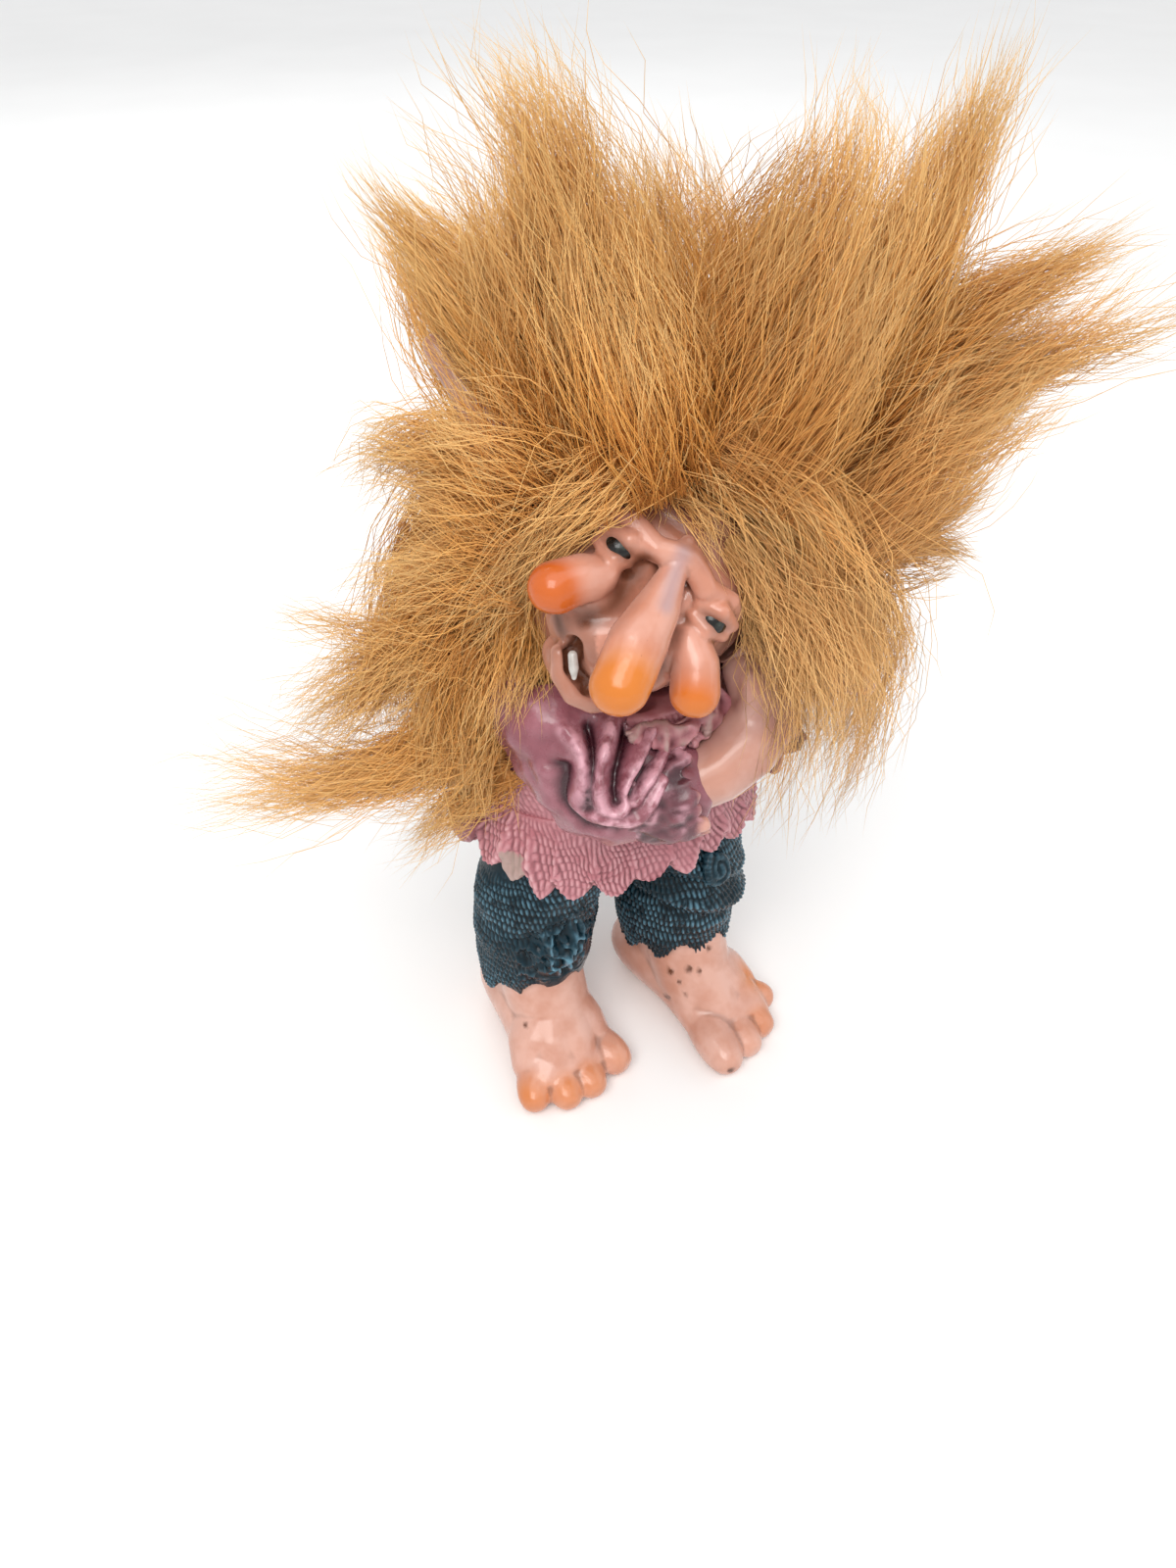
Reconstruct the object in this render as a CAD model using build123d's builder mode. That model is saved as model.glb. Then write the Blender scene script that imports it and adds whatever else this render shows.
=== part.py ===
"""Small standing troll figure: painted cast members, set-in eyes and a glued mane of fur.

The figure stands on the XY plane and faces -Y, so its right side is at -X. The origin is on
the ground, under the middle of the whole figure. All sizes are millimetres.
"""

import os

from build123d import *

os.makedirs("parts", exist_ok=True)

# Main sizes
mane_height = 113.0  # ground to the highest lock
mane_half_width = 40.0
mane_half_depth = 27.0
body_half_width = 15.2
body_half_depth = 11.0
body_back = 3.2  # how far the trunk's middle lies in front of the origin
hip_height = 39.0
shoulder_height = 58.0
crotch_height = 34.0
body_turn = -18.0  # degrees, towards the figure's right

# Clearances and cuts
fit_gap = 0.3  # between neighbouring members
eye_gap = 0.05  # between an eye or tooth and its socket
overrun = 4.0  # how far a cutter runs past what it cuts

# Feet
foot_length = 24.0
foot_width = 12.6
instep_height = 12.5
ankle_height = 15.5
ankle_radius = 5.3
toe_radius = 2.25
foot_spread = 9.6  # middle of an ankle from the middle of the figure
right_foot_forward = 1.0
left_foot_forward = 4.7

# Trousers
right_leg_radius = 7.2
left_leg_radius = 7.7
cuff_height = 10.6  # ground to the middle of a ragged cuff
cuff_tilt = 17.0  # degrees, front edge up over the instep
leg_notch = 1.35
seat_half_width = 12.6
seat_half_depth = 8.6
patch_width = 8.5
patch_height = 10.5
patch_corner = 2.0
patch_bulge = 1.1
knot_radius = 2.5
knot_bulge = 1.6

# Sweater
hem_height = 32.0  # ground to the edge of the ragged hem
hem_flare = 1.6
hem_wall = 1.3
hem_notch = 1.6
collar_radius = 9.6
collar_thickness = 1.5
collar_tilt = 12.0  # degrees, forward under the chin
sleeve_radius = 6.9
cuff_radius = 5.1
cuff_length = 4.4
cuff_notch = 1.0
left_sleeve_radius = 4.6

# Arms
forearm_radius = 3.4
left_hand_radius = 3.3

# Head
head_radius = 12.0
head_height = 69.2  # ground to the middle of the skull
head_forward = 9.8
head_aside = -1.1
head_turn = -24.9  # degrees, towards the figure's right
head_nod = -16.4  # degrees, chin up
head_lean = 39.5  # degrees, crown towards the figure's left shoulder
nose_length = 9.4
nose_radius = 2.5
cheek_length = 5.0
cheek_radius = 2.15
eye_spread = 5.2
eye_radius = 1.4
ear_length = 17.0
ear_radius = 3.4
tooth_radius = 0.75
tooth_length = 1.9

# Shares of the sizes above
patch_rise_share = 0.46
knot_rise_share = 0.70
knot_hole_share = 0.45
knot_ball_share = 0.56
tooth_tip_share = 0.6
nose_root_thick_share = 0.72
cheek_root_thick_share = 0.92
ear_middle_share = 0.48
ear_root_thick_share = 0.62
ear_tip_thick_share = 0.32
round_end_shares = ((0.97, 0.22), (0.72, 0.69))  # how far a round end reaches, how thick it is
steep_share = 0.99
# The trunk, as shares of the body's sizes: height, forward, half width, half depth
trunk_shares = (
    (0.00, 0.00, 0.97, 0.97),
    (0.36, 0.10, 0.98, 1.03),
    (0.72, 0.34, 0.86, 0.95),
    (1.00, 0.56, 0.60, 0.78),
)
# A leg, as shares: height, side of the ankle, thickness, cuff tilt
leg_shares = (
    (0.00, 1.00, 0.94, 1.0), (0.28, 1.00, 1.02, 0.4), (0.62, 0.98, 1.05, 0.0),
    (1.00, 0.78, 0.88, 0.0),
)
# A foot, as shares of its length, height and width: forward, height, half width, half height,
# outward
sole_shares = (
    (-0.38, 0.34, 0.20, 0.22, -0.04),
    (-0.25, 0.40, 0.44, 0.42, -0.04),
    (0.00, 0.44, 0.47, 0.50, 0.00),
    (0.24, 0.33, 0.45, 0.38, 0.07),
    (0.44, 0.22, 0.46, 0.28, 0.11),
    (0.55, 0.17, 0.41, 0.18, 0.12),
)
# Toes, as shares: towards the big toe, forward, thickness
right_toe_shares = ((0.36, 0.61, 1.08), (0.02, 0.67, 0.98), (-0.25, 0.67, 0.97), (-0.53, 0.60, 0.96))
left_toe_shares = ((0.18, 0.75, 1.10), (-0.12, 0.71, 0.98), (-0.37, 0.64, 0.96), (-0.58, 0.49, 0.93))
toe_root_share = 0.36
toe_spread_share = 0.70
toe_root_rise_share = 1.1
toe_tip_rise_share = 0.86
toe_root_thick_share = 0.94
# Ragged edges, as turns round the edge and shares of the notch: turn, width
leg_notch_shares = (
    (0.02, 1.0), (0.13, 0.7), (0.22, 1.2), (0.35, 0.8), (0.45, 1.1),
    (0.57, 0.9), (0.68, 1.2), (0.80, 0.8), (0.90, 1.1),
)
hem_notch_shares = (
    (0.01, 0.8), (0.07, 1.1), (0.12, 0.7), (0.19, 1.2), (0.25, 0.8), (0.31, 1.0), (0.38, 1.2),
    (0.44, 0.7), (0.50, 1.1), (0.56, 0.9), (0.62, 1.3), (0.67, 0.8), (0.73, 1.1), (0.78, 0.7),
    (0.83, 1.0), (0.88, 1.2), (0.94, 0.9),
)
sleeve_notch_shares = ((0.05, 1.0), (0.20, 1.3), (0.37, 0.8), (0.50, 1.2), (0.66, 0.9), (0.83, 1.2))

# Arms, as shares of body half width, body half depth, shoulder height and the limb's radius
right_sleeve_shares = (
    (-0.76, -0.77, 0.974, 0.76),
    (-0.59, -1.16, 0.914, 0.96),
    (-0.43, -1.43, 0.871, 1.00),
    (-0.22, -1.62, 0.866, 0.78),
)
right_arm_shares = (
    (-0.10, -1.71, 0.872, 0.90),
    (0.22, -1.76, 0.905, 0.98),
    (0.54, -1.64, 0.936, 1.06),
    (0.46, -1.50, 1.010, 0.78),
)
left_sleeve_shares = (
    (0.74, -0.78, 0.97, 1.00),
    (1.10, -0.70, 0.85, 0.96),
    (1.22, -0.36, 0.755, 0.94),
    (0.86, 0.36, 0.745, 0.88),
)
left_hand_shares = ((0.80, 0.50, 0.745, 0.72), (0.50, 0.74, 0.75, 1.00), (0.28, 0.82, 0.75, 0.72))

# The face, as shares of the head's radius from its middle: across, forward, up, thickness
skull_shares = ((0.00, -0.33, -0.55, 0.72), (0.00, -0.62, -0.62, 0.47), (0.00, -0.70, -0.95, 0.30))
brow_shares = ((-0.56, -0.74, 0.32, 0.24), (0.00, -0.88, 0.27, 0.24), (0.56, -0.74, 0.32, 0.24))
nose_root_shares = (0.00, -0.86, 0.10)
nose_way_shares = (0.00, -0.58, -0.81)
cheek_root_shares = (0.30, -0.92, -0.08)
cheek_way_shares = (0.80, -0.14, -0.58)
eye_place_shares = (-0.86, 0.13)  # forward, up
tooth_place_shares = (-0.41, -0.80, -0.63)
ear_root_shares = (0.86, 0.02, -0.02)
ear_way_shares = (0.95, 0.13, 0.27)

# The mane's locks, as shares of its half width, half depth and height, and of the head's
# radius: across, back, up, thickness
mane_shares = {
    "fringe": (
        (-0.25, -0.46, 0.685, 0.30), (-0.10, -0.62, 0.712, 0.36), (0.08, -0.70, 0.700, 0.36),
        (0.22, -0.75, 0.645, 0.30),
    ),
    "crown_right": (
        (-0.03, -0.26, 0.700, 0.87), (-0.10, -0.19, 0.820, 0.78), (-0.20, -0.13, 0.925, 0.53),
        (-0.25, -0.10, 0.986, 0.15),
    ),
    "crown_left": (
        (0.22, -0.35, 0.689, 0.89), (0.34, -0.44, 0.813, 0.79), (0.40, -0.52, 0.906, 0.48),
        (0.40, -0.56, 0.970, 0.14),
    ),
    "crown_middle": (
        (0.26, 0.07, 0.691, 0.78), (0.33, 0.22, 0.783, 0.72), (0.33, 0.33, 0.868, 0.50),
        (0.26, 0.41, 0.929, 0.15),
    ),
    "wisp_right": (
        (-0.10, 0.00, 0.740, 0.60), (-0.30, 0.13, 0.832, 0.41), (-0.44, 0.30, 0.913, 0.12),
    ),
    "wisp_left": (
        (0.46, -0.35, 0.737, 0.65), (0.60, -0.48, 0.830, 0.51), (0.65, -0.57, 0.912, 0.29),
        (0.67, -0.65, 0.973, 0.11),
    ),
    "flank_left": (
        (0.40, -0.44, 0.638, 0.75), (0.61, -0.61, 0.712, 0.66), (0.73, -0.80, 0.772, 0.36),
        (0.80, -0.95, 0.817, 0.11),
    ),
    "flare_left": (
        (0.54, -0.33, 0.606, 0.63), (0.78, -0.44, 0.615, 0.47), (0.97, -0.52, 0.642, 0.12),
    ),
    "side_left": (
        (0.44, -0.31, 0.588, 0.58), (0.61, -0.46, 0.500, 0.62), (0.57, -0.44, 0.389, 0.45),
        (0.49, -0.44, 0.296, 0.13),
    ),
    "temple_right": (
        (-0.25, -0.19, 0.652, 0.58), (-0.40, 0.07, 0.676, 0.53), (-0.56, 0.26, 0.667, 0.29),
        (-0.71, 0.37, 0.639, 0.10),
    ),
    "side_right": (
        (-0.31, -0.07, 0.586, 0.62), (-0.51, 0.11, 0.529, 0.66), (-0.72, 0.24, 0.456, 0.42),
        (-0.96, 0.37, 0.412, 0.12),
    ),
    "cheek_right": (
        (-0.34, -0.15, 0.555, 0.49), (-0.47, -0.17, 0.465, 0.50), (-0.51, -0.15, 0.381, 0.17),
    ),
    "swept_right": (
        (-0.16, 0.14, 0.703, 0.61), (-0.34, 0.49, 0.752, 0.54), (-0.51, 0.82, 0.801, 0.13),
    ),
    "swept_left": (
        (0.38, 0.07, 0.664, 0.67), (0.60, 0.31, 0.712, 0.55), (0.80, 0.54, 0.761, 0.13),
    ),
    "nape": (
        (0.08, 0.15, 0.712, 0.72), (0.14, 0.52, 0.783, 0.63), (0.19, 0.91, 0.863, 0.15),
    ),
    "back": (
        (0.03, 0.21, 0.628, 0.92), (0.06, 0.51, 0.560, 0.92), (0.04, 0.65, 0.430, 0.66),
        (0.03, 0.72, 0.323, 0.20),
    ),
    "back_right": (
        (-0.23, 0.17, 0.619, 0.67), (-0.38, 0.43, 0.531, 0.68), (-0.44, 0.56, 0.407, 0.48),
        (-0.45, 0.63, 0.314, 0.13),
    ),
    "back_left": (
        (0.28, 0.15, 0.602, 0.67), (0.42, 0.33, 0.522, 0.68), (0.47, 0.43, 0.403, 0.48),
        (0.46, 0.48, 0.305, 0.13),
    ),
}


def placed(share_row, across, deep, high):
    """One point of a table, in millimetres."""
    return Vector(share_row[0] * across, share_row[1] * deep, share_row[2] * high)


def limb(points, radii, grow=0.0, mode=Mode.ADD):
    """A round limb: one loft through circles square to the points' path, with round ends."""
    ways = [(end - start).normalized() for start, end in zip(points, points[1:])]
    tangents = [ways[0]] + [(a + b).normalized() for a, b in zip(ways, ways[1:])] + [ways[-1]]
    rings = []
    for out_share, thin_share in round_end_shares:
        reach, size = (radii[0] + grow) * out_share, (radii[0] + grow) * thin_share
        rings.append((points[0] - ways[0] * reach, ways[0], size))
    for point, tangent, radius in zip(points, tangents, radii):
        rings.append((point, tangent, radius + grow))
    for out_share, thin_share in reversed(round_end_shares):
        reach, size = (radii[-1] + grow) * out_share, (radii[-1] + grow) * thin_share
        rings.append((points[-1] + ways[-1] * reach, ways[-1], size))
    sections = []
    for middle, way, size in rings:
        across = Vector(0, 0, 1).cross(way) if abs(way.Z) < steep_share else Vector(1, 0, 0)
        with BuildSketch(Plane(origin=middle, x_dir=across, z_dir=way), mode=Mode.PRIVATE) as ring:
            Circle(size)
        sections.append(ring.sketch)
    loft(sections=sections, mode=mode)


def table_limb(shares, across, deep, high, thickness, grow=0.0, mode=Mode.ADD):
    """A limb whose points and radii are a table of shares."""
    points = [placed(row, across, deep, high) for row in shares]
    limb(points, [row[3] * thickness for row in shares], grow, mode)


def ragged(plane, reach, notch, shares, mode=Mode.SUBTRACT):
    """Round notches cut in from an edge that runs round the plane's own Z axis."""
    for turn, width_share in shares:
        with Locations(plane * Rotation(0, 0, 360 * turn)):
            Cylinder(
                notch * width_share, reach, rotation=(0, 90, 0),
                align=(Align.CENTER, Align.CENTER, Align.MIN), mode=mode,
            )


def cut_by(piece, blockers):
    """Take each blocker's room out of the piece being made, and keep its main solid."""
    for blocker in blockers:
        add(blocker.part, mode=Mode.SUBTRACT)
    add(piece.solids().sort_by(SortBy.VOLUME)[-1], mode=Mode.REPLACE)


def save(piece, name):
    """Label a finished piece and write its file."""
    piece.part.label = name
    export_step(piece.part, "parts/" + name + ".step")


# Feet: heel, instep and four toes, flat underneath, with a round ankle stub on top
foot_parts = {}
for side, name, forward, toe_shares in (
    (-1, "right_foot", right_foot_forward, right_toe_shares),
    (1, "left_foot", left_foot_forward, left_toe_shares),
):
    ankle_spot = Vector(side * foot_spread, -forward, 0)
    with BuildPart() as foot:
        for ahead, high, half_width, half_height, outward in sole_shares:
            middle = ankle_spot + Vector(
                side * outward * foot_width, -ahead * foot_length, high * instep_height
            )
            with BuildSketch(Plane(origin=middle, x_dir=(1, 0, 0), z_dir=(0, -1, 0))):
                Ellipse(half_width * foot_width, half_height * instep_height)
        loft()
        with Locations(ankle_spot + Vector(0, 0, instep_height / 2)):
            Cylinder(
                ankle_radius, ankle_height - instep_height / 2,
                align=(Align.CENTER, Align.CENTER, Align.MIN),
            )
        for inward, ahead, thick_share in toe_shares:
            radius = toe_radius * thick_share
            across = -side * inward * foot_width
            tip = ankle_spot + Vector(across, radius - ahead * foot_length, radius * toe_tip_rise_share)
            root = ankle_spot + Vector(
                across * toe_spread_share, -toe_root_share * foot_length, radius * toe_root_rise_share
            )
            limb([root, tip], [radius * toe_root_thick_share, radius])
        split(bisect_by=Plane.XY, keep=Keep.TOP)
    foot_parts[name] = foot.part
    save(foot, name)


# Trouser legs: swollen at the knee, ragged round the cuff, and seated on the ankles
leg_rise = crotch_height - cuff_height


def leg_form(side, forward, radius, grow, mode=Mode.ADD):
    """The leg's outer shape, which leans from over its ankle to under the trunk."""
    sections = []
    for rise, spread_share, thick_share, tilt_share in leg_shares:
        ahead = forward + (body_back - forward) * rise
        middle = (side * foot_spread * spread_share, -ahead, cuff_height + leg_rise * rise)
        section_plane = Plane(origin=middle).rotated((-cuff_tilt * tilt_share, 0, 0))
        with BuildSketch(section_plane, mode=Mode.PRIVATE) as section:
            Circle(radius * thick_share + grow)
        sections.append(section.sketch)
    loft(sections=sections, mode=mode)


with BuildPart() as legs_room:
    leg_form(-1, right_foot_forward, right_leg_radius, fit_gap)
    leg_form(1, left_foot_forward, left_leg_radius, fit_gap)

for side, name, forward, radius, foot_name in (
    (-1, "right_trouser_leg", right_foot_forward, right_leg_radius, "right_foot"),
    (1, "left_trouser_leg", left_foot_forward, left_leg_radius, "left_foot"),
):
    with BuildPart() as leg:
        leg_form(side, forward, radius, 0)
        with Locations((side * foot_spread, -forward, 0)):
            Cylinder(
                ankle_radius + fit_gap, ankle_height,
                align=(Align.CENTER, Align.CENTER, Align.MIN), mode=Mode.SUBTRACT,
            )
        add(foot_parts[foot_name], mode=Mode.SUBTRACT)
        cuff_plane = Plane(origin=(side * foot_spread, -forward, cuff_height))
        cuff_plane = cuff_plane.rotated((-cuff_tilt, 0, 0))
        ragged(cuff_plane, radius + overrun, leg_notch, leg_notch_shares)
    save(leg, name)

# The wrinkled patch on the right knee, laid over the leg's own round
with BuildPart() as knee_patch:
    leg_form(-1, right_foot_forward, right_leg_radius, patch_bulge)
    patch_place = (-foot_spread, 0, cuff_height + leg_rise * patch_rise_share)
    with BuildSketch(Plane(origin=patch_place, x_dir=(1, 0, 0), z_dir=(0, -1, 0))):
        RectangleRounded(patch_width, patch_height, patch_corner)
    extrude(amount=right_leg_radius + body_back + overrun, mode=Mode.INTERSECT)
    leg_form(-1, right_foot_forward, right_leg_radius, 0, mode=Mode.SUBTRACT)
save(knee_patch, "knee_patch")

# The small knot of cloth on the left knee
with BuildPart() as knee_knot:
    knot_place = Vector(
        foot_spread, -left_foot_forward - left_leg_radius, cuff_height + leg_rise * knot_rise_share
    )
    with BuildSketch(Plane(origin=knot_place + Vector(0, left_leg_radius, 0), z_dir=(0, -1, 0))):
        Circle(knot_radius)
        Circle(knot_radius * knot_hole_share, mode=Mode.SUBTRACT)
    extrude(amount=left_leg_radius + knot_bulge)
    with Locations(Location(knot_place)):
        Sphere(knot_radius * knot_ball_share)
    leg_form(1, left_foot_forward, left_leg_radius, 0, mode=Mode.SUBTRACT)
save(knee_knot, "knee_knot")

# The seat of the trousers, between the legs' tops and the sweater
trunk_plane = Plane(origin=(0, -body_back, 0)).rotated((0, 0, body_turn))
with BuildPart() as trouser_seat:
    with BuildSketch(trunk_plane.offset(crotch_height)):
        Ellipse(seat_half_width, seat_half_depth)
    extrude(amount=hip_height - crotch_height)
save(trouser_seat, "trouser_seat")

# The head's own frame: turned, nodded and leaned about the middle of the skull
across_way, up_way = Vector(1, 0, 0), Vector(0, 0, 1)
for axis, angle in ((Axis.Y, head_lean), (Axis.X, head_nod), (Axis.Z, head_turn)):
    across_way, up_way = across_way.rotate(axis, angle), up_way.rotate(axis, angle)
head_plane = Plane(
    origin=(head_aside, -head_forward, head_height), x_dir=across_way, z_dir=up_way
)


def face_point(across, ahead, up):
    """A point of the face, from shares of the head's radius."""
    return head_plane.from_local_coords(Vector(across, ahead, up) * head_radius)


def face_limb(shares, grow=0.0):
    """A limb of the face, from a table of shares of the head's radius."""
    limb([face_point(*row[:3]) for row in shares], [row[3] * head_radius for row in shares], grow)


def face_way(shares):
    """A direction of the face, in the figure's own frame."""
    return (face_point(*shares) - head_plane.origin).normalized()


def head_form(grow):
    """Skull, jaw, brow, nose and the two long cheeks."""
    with Locations(Location(head_plane.origin)):
        Sphere(head_radius + grow)
    face_limb(skull_shares, grow)
    face_limb(brow_shares, grow)
    nose_root = face_point(*nose_root_shares)
    nose_tip = nose_root + face_way(nose_way_shares) * nose_length
    limb([nose_root, nose_tip], [nose_radius * nose_root_thick_share, nose_radius], grow)
    for side in (-1, 1):
        across, ahead, up = cheek_root_shares
        way_across, way_ahead, way_up = cheek_way_shares
        root = face_point(side * across, ahead, up)
        end = root + face_way((side * way_across, way_ahead, way_up)) * cheek_length
        limb([root, end], [cheek_radius * cheek_root_thick_share, cheek_radius], grow)


with BuildPart() as head_room:
    head_form(fit_gap)

# Eyes and tooth are set into sockets in the head
eye_spots = [
    head_plane.from_local_coords(
        Vector(side * eye_spread, eye_place_shares[0] * head_radius, eye_place_shares[1] * head_radius)
    )
    for side in (-1, 1)
]
tooth_root = face_point(*tooth_place_shares)
tooth_tip = tooth_root - up_way * tooth_length
with BuildPart() as head:
    head_form(0)
    for spot in eye_spots:
        with Locations(Location(spot)):
            Sphere(eye_radius + eye_gap, mode=Mode.SUBTRACT)
    limb([tooth_root, tooth_tip], [tooth_radius, tooth_radius * tooth_tip_share], eye_gap, Mode.SUBTRACT)
save(head, "head")

for name, spot in zip(("right_eye", "left_eye"), eye_spots):
    with BuildPart() as eye:
        with Locations(Location(spot)):
            Sphere(eye_radius)
    save(eye, name)

with BuildPart() as tooth:
    limb([tooth_root, tooth_tip], [tooth_radius, tooth_radius * tooth_tip_share])
save(tooth, "tooth")


def ear_form(side, grow):
    """A long pointed ear that stands out from the side of the skull."""
    across, ahead, up = ear_root_shares
    way_across, way_ahead, way_up = ear_way_shares
    root = face_point(side * across, ahead, up)
    tip = root + face_way((side * way_across, way_ahead, way_up)) * ear_length
    middle = root + (tip - root) * ear_middle_share
    limb(
        [root, middle, tip],
        [ear_radius * ear_root_thick_share, ear_radius, ear_radius * ear_tip_thick_share], grow,
    )


for side, name in ((-1, "right_ear"), (1, "left_ear")):
    with BuildPart() as ear:
        ear_form(side, 0)
        add(head.part, mode=Mode.SUBTRACT)
    save(ear, name)
with BuildPart() as ears_room:
    ear_form(-1, fit_gap)
    ear_form(1, fit_gap)
with BuildPart() as eyes_room:
    for spot in eye_spots:
        with Locations(Location(spot)):
            Sphere(eye_radius + fit_gap)
head_blockers = [head_room, ears_room, eyes_room]


def trunk_form(grow):
    """The sweater's trunk, bent forward under the head."""
    sections = []
    for rise, ahead, wide_share, deep_share in trunk_shares:
        high = hip_height + rise * (shoulder_height - hip_height)
        middle = trunk_plane.from_local_coords(Vector(0, -ahead * body_half_depth, high))
        with BuildSketch(Plane(origin=middle, x_dir=trunk_plane.x_dir), mode=Mode.PRIVATE) as section:
            Ellipse(body_half_width * wide_share + grow, body_half_depth * deep_share + grow)
        sections.append(section.sketch)
    loft(sections=sections)


with BuildPart() as trunk_room:
    trunk_form(fit_gap)
with BuildPart() as sweater:
    trunk_form(0)
    cut_by(sweater, head_blockers)
save(sweater, "sweater")

# The ragged hem: a flared skirt under the sweater's edge, over the seat and the legs' tops
with BuildPart() as sweater_hem:
    hip_row = trunk_shares[0]
    for wall, mode in ((0, Mode.ADD), (hem_wall, Mode.SUBTRACT)):
        with BuildSketch(trunk_plane.offset(hem_height), mode=Mode.PRIVATE) as low:
            Ellipse(body_half_width + hem_flare - wall, body_half_depth + hem_flare - wall)
        with BuildSketch(trunk_plane.offset(hip_height), mode=Mode.PRIVATE) as high:
            Ellipse(body_half_width * hip_row[2] - wall, body_half_depth * hip_row[3] - wall)
        loft(sections=[low.sketch, high.sketch], mode=mode)
    add(legs_room.part, mode=Mode.SUBTRACT)
    hem_reach = body_half_width + hem_flare + overrun
    ragged(trunk_plane.offset(hem_height), hem_reach, hem_notch, hem_notch_shares)
save(sweater_hem, "sweater_hem")

# Arms: the right one crosses the chest and its hand holds the cheek, the left is behind the back
arm_sizes = (body_half_width, body_half_depth, shoulder_height)
with BuildPart() as right_sleeve:
    table_limb(right_sleeve_shares, *arm_sizes, sleeve_radius)
    cut_by(right_sleeve, [trunk_room, head] + head_blockers)
with BuildPart() as right_hand:
    table_limb(right_arm_shares, *arm_sizes, forearm_radius)
    cut_by(right_hand, [trunk_room, right_sleeve] + head_blockers)
save(right_sleeve, "right_sleeve")
save(right_hand, "right_hand")

wrist = placed(right_arm_shares[0], *arm_sizes)
wrist_way = (placed(right_arm_shares[1], *arm_sizes) - wrist).normalized()
with BuildPart() as right_cuff:
    cuff_plane = Plane(origin=wrist, z_dir=wrist_way)
    with BuildSketch(cuff_plane):
        Circle(cuff_radius)
    extrude(amount=cuff_length)
    ragged(
        cuff_plane.offset(cuff_length), cuff_radius + overrun, cuff_notch, sleeve_notch_shares
    )
    table_limb(right_arm_shares, *arm_sizes, forearm_radius, fit_gap, Mode.SUBTRACT)
    cut_by(right_cuff, [right_sleeve, trunk_room] + head_blockers)
save(right_cuff, "right_cuff")

with BuildPart() as left_sleeve:
    table_limb(left_sleeve_shares, *arm_sizes, left_sleeve_radius)
    cut_by(left_sleeve, [trunk_room, sweater_hem] + head_blockers)
with BuildPart() as left_hand:
    table_limb(left_hand_shares, *arm_sizes, left_hand_radius)
    cut_by(left_hand, [trunk_room, sweater_hem, left_sleeve])
save(left_sleeve, "left_sleeve")
save(left_hand, "left_hand")

# A ribbed collar round the neck, under the chin
with BuildPart() as sweater_collar:
    neck = trunk_plane.from_local_coords(
        Vector(0, -trunk_shares[-1][1] * body_half_depth, shoulder_height)
    )
    with Locations(Location(neck, (collar_tilt, 0, 0))):
        Torus(collar_radius, collar_thickness)
    cut_by(
        sweater_collar,
        [trunk_room, right_sleeve, right_hand, right_cuff, left_sleeve] + head_blockers,
    )
save(sweater_collar, "sweater_collar")

# The mane: tapered locks of fur round the head, each cut to lie against what it meets
mane_sizes = (mane_half_width, mane_half_depth, mane_height)
mane_blockers = head_blockers + [
    trunk_room, right_sleeve, right_hand, right_cuff, left_sleeve, left_hand, sweater_collar,
    sweater_hem,
]
for name, lock_shares in mane_shares.items():
    with BuildPart() as lock:
        table_limb(lock_shares, *mane_sizes, head_radius)
        cut_by(lock, mane_blockers)
    save(lock, "fur_" + name)
    with BuildPart() as lock_room:
        table_limb(lock_shares, *mane_sizes, head_radius, fit_gap)
    mane_blockers.append(lock_room)
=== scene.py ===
import itertools
import math

import bpy
import numpy as np
from mathutils import Euler, Matrix, Vector


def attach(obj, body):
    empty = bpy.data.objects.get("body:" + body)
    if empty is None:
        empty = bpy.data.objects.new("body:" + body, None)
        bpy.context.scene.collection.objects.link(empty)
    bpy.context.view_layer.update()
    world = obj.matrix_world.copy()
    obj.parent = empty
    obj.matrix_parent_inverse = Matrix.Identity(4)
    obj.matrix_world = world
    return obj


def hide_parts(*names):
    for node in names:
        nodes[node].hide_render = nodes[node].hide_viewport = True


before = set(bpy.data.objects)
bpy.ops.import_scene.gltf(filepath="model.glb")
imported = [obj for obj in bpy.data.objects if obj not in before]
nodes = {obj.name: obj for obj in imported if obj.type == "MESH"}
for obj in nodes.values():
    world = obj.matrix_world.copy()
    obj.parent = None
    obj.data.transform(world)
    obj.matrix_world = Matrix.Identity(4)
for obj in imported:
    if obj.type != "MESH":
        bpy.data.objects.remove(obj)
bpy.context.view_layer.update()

mm = 0.001
print("frame loaded:", len(nodes), "nodes")


# camera, lamps and world

cameraSetup = {
    "place": (-54.1, -91.9, 125.0),  # mm, held above the figure's right shoulder
    "down": 40.0, "turn": -30.0, "lens": 27.05, "sensor": 36.0,
}
cameraData = bpy.data.cameras.new("photoCamera")
camera = bpy.data.objects.new("photoCamera", cameraData)
bpy.context.scene.collection.objects.link(camera)
camera.location = Vector(cameraSetup["place"]) * mm
camera.rotation_euler = Euler((math.radians(90 - cameraSetup["down"]), 0, math.radians(cameraSetup["turn"])))
cameraData.sensor_width = cameraSetup["sensor"]
cameraData.lens = cameraSetup["lens"]
cameraData.clip_start, cameraData.clip_end = 0.005, 20
bpy.context.scene.camera = camera
bpy.context.scene.view_settings.view_transform = "Standard"

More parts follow.
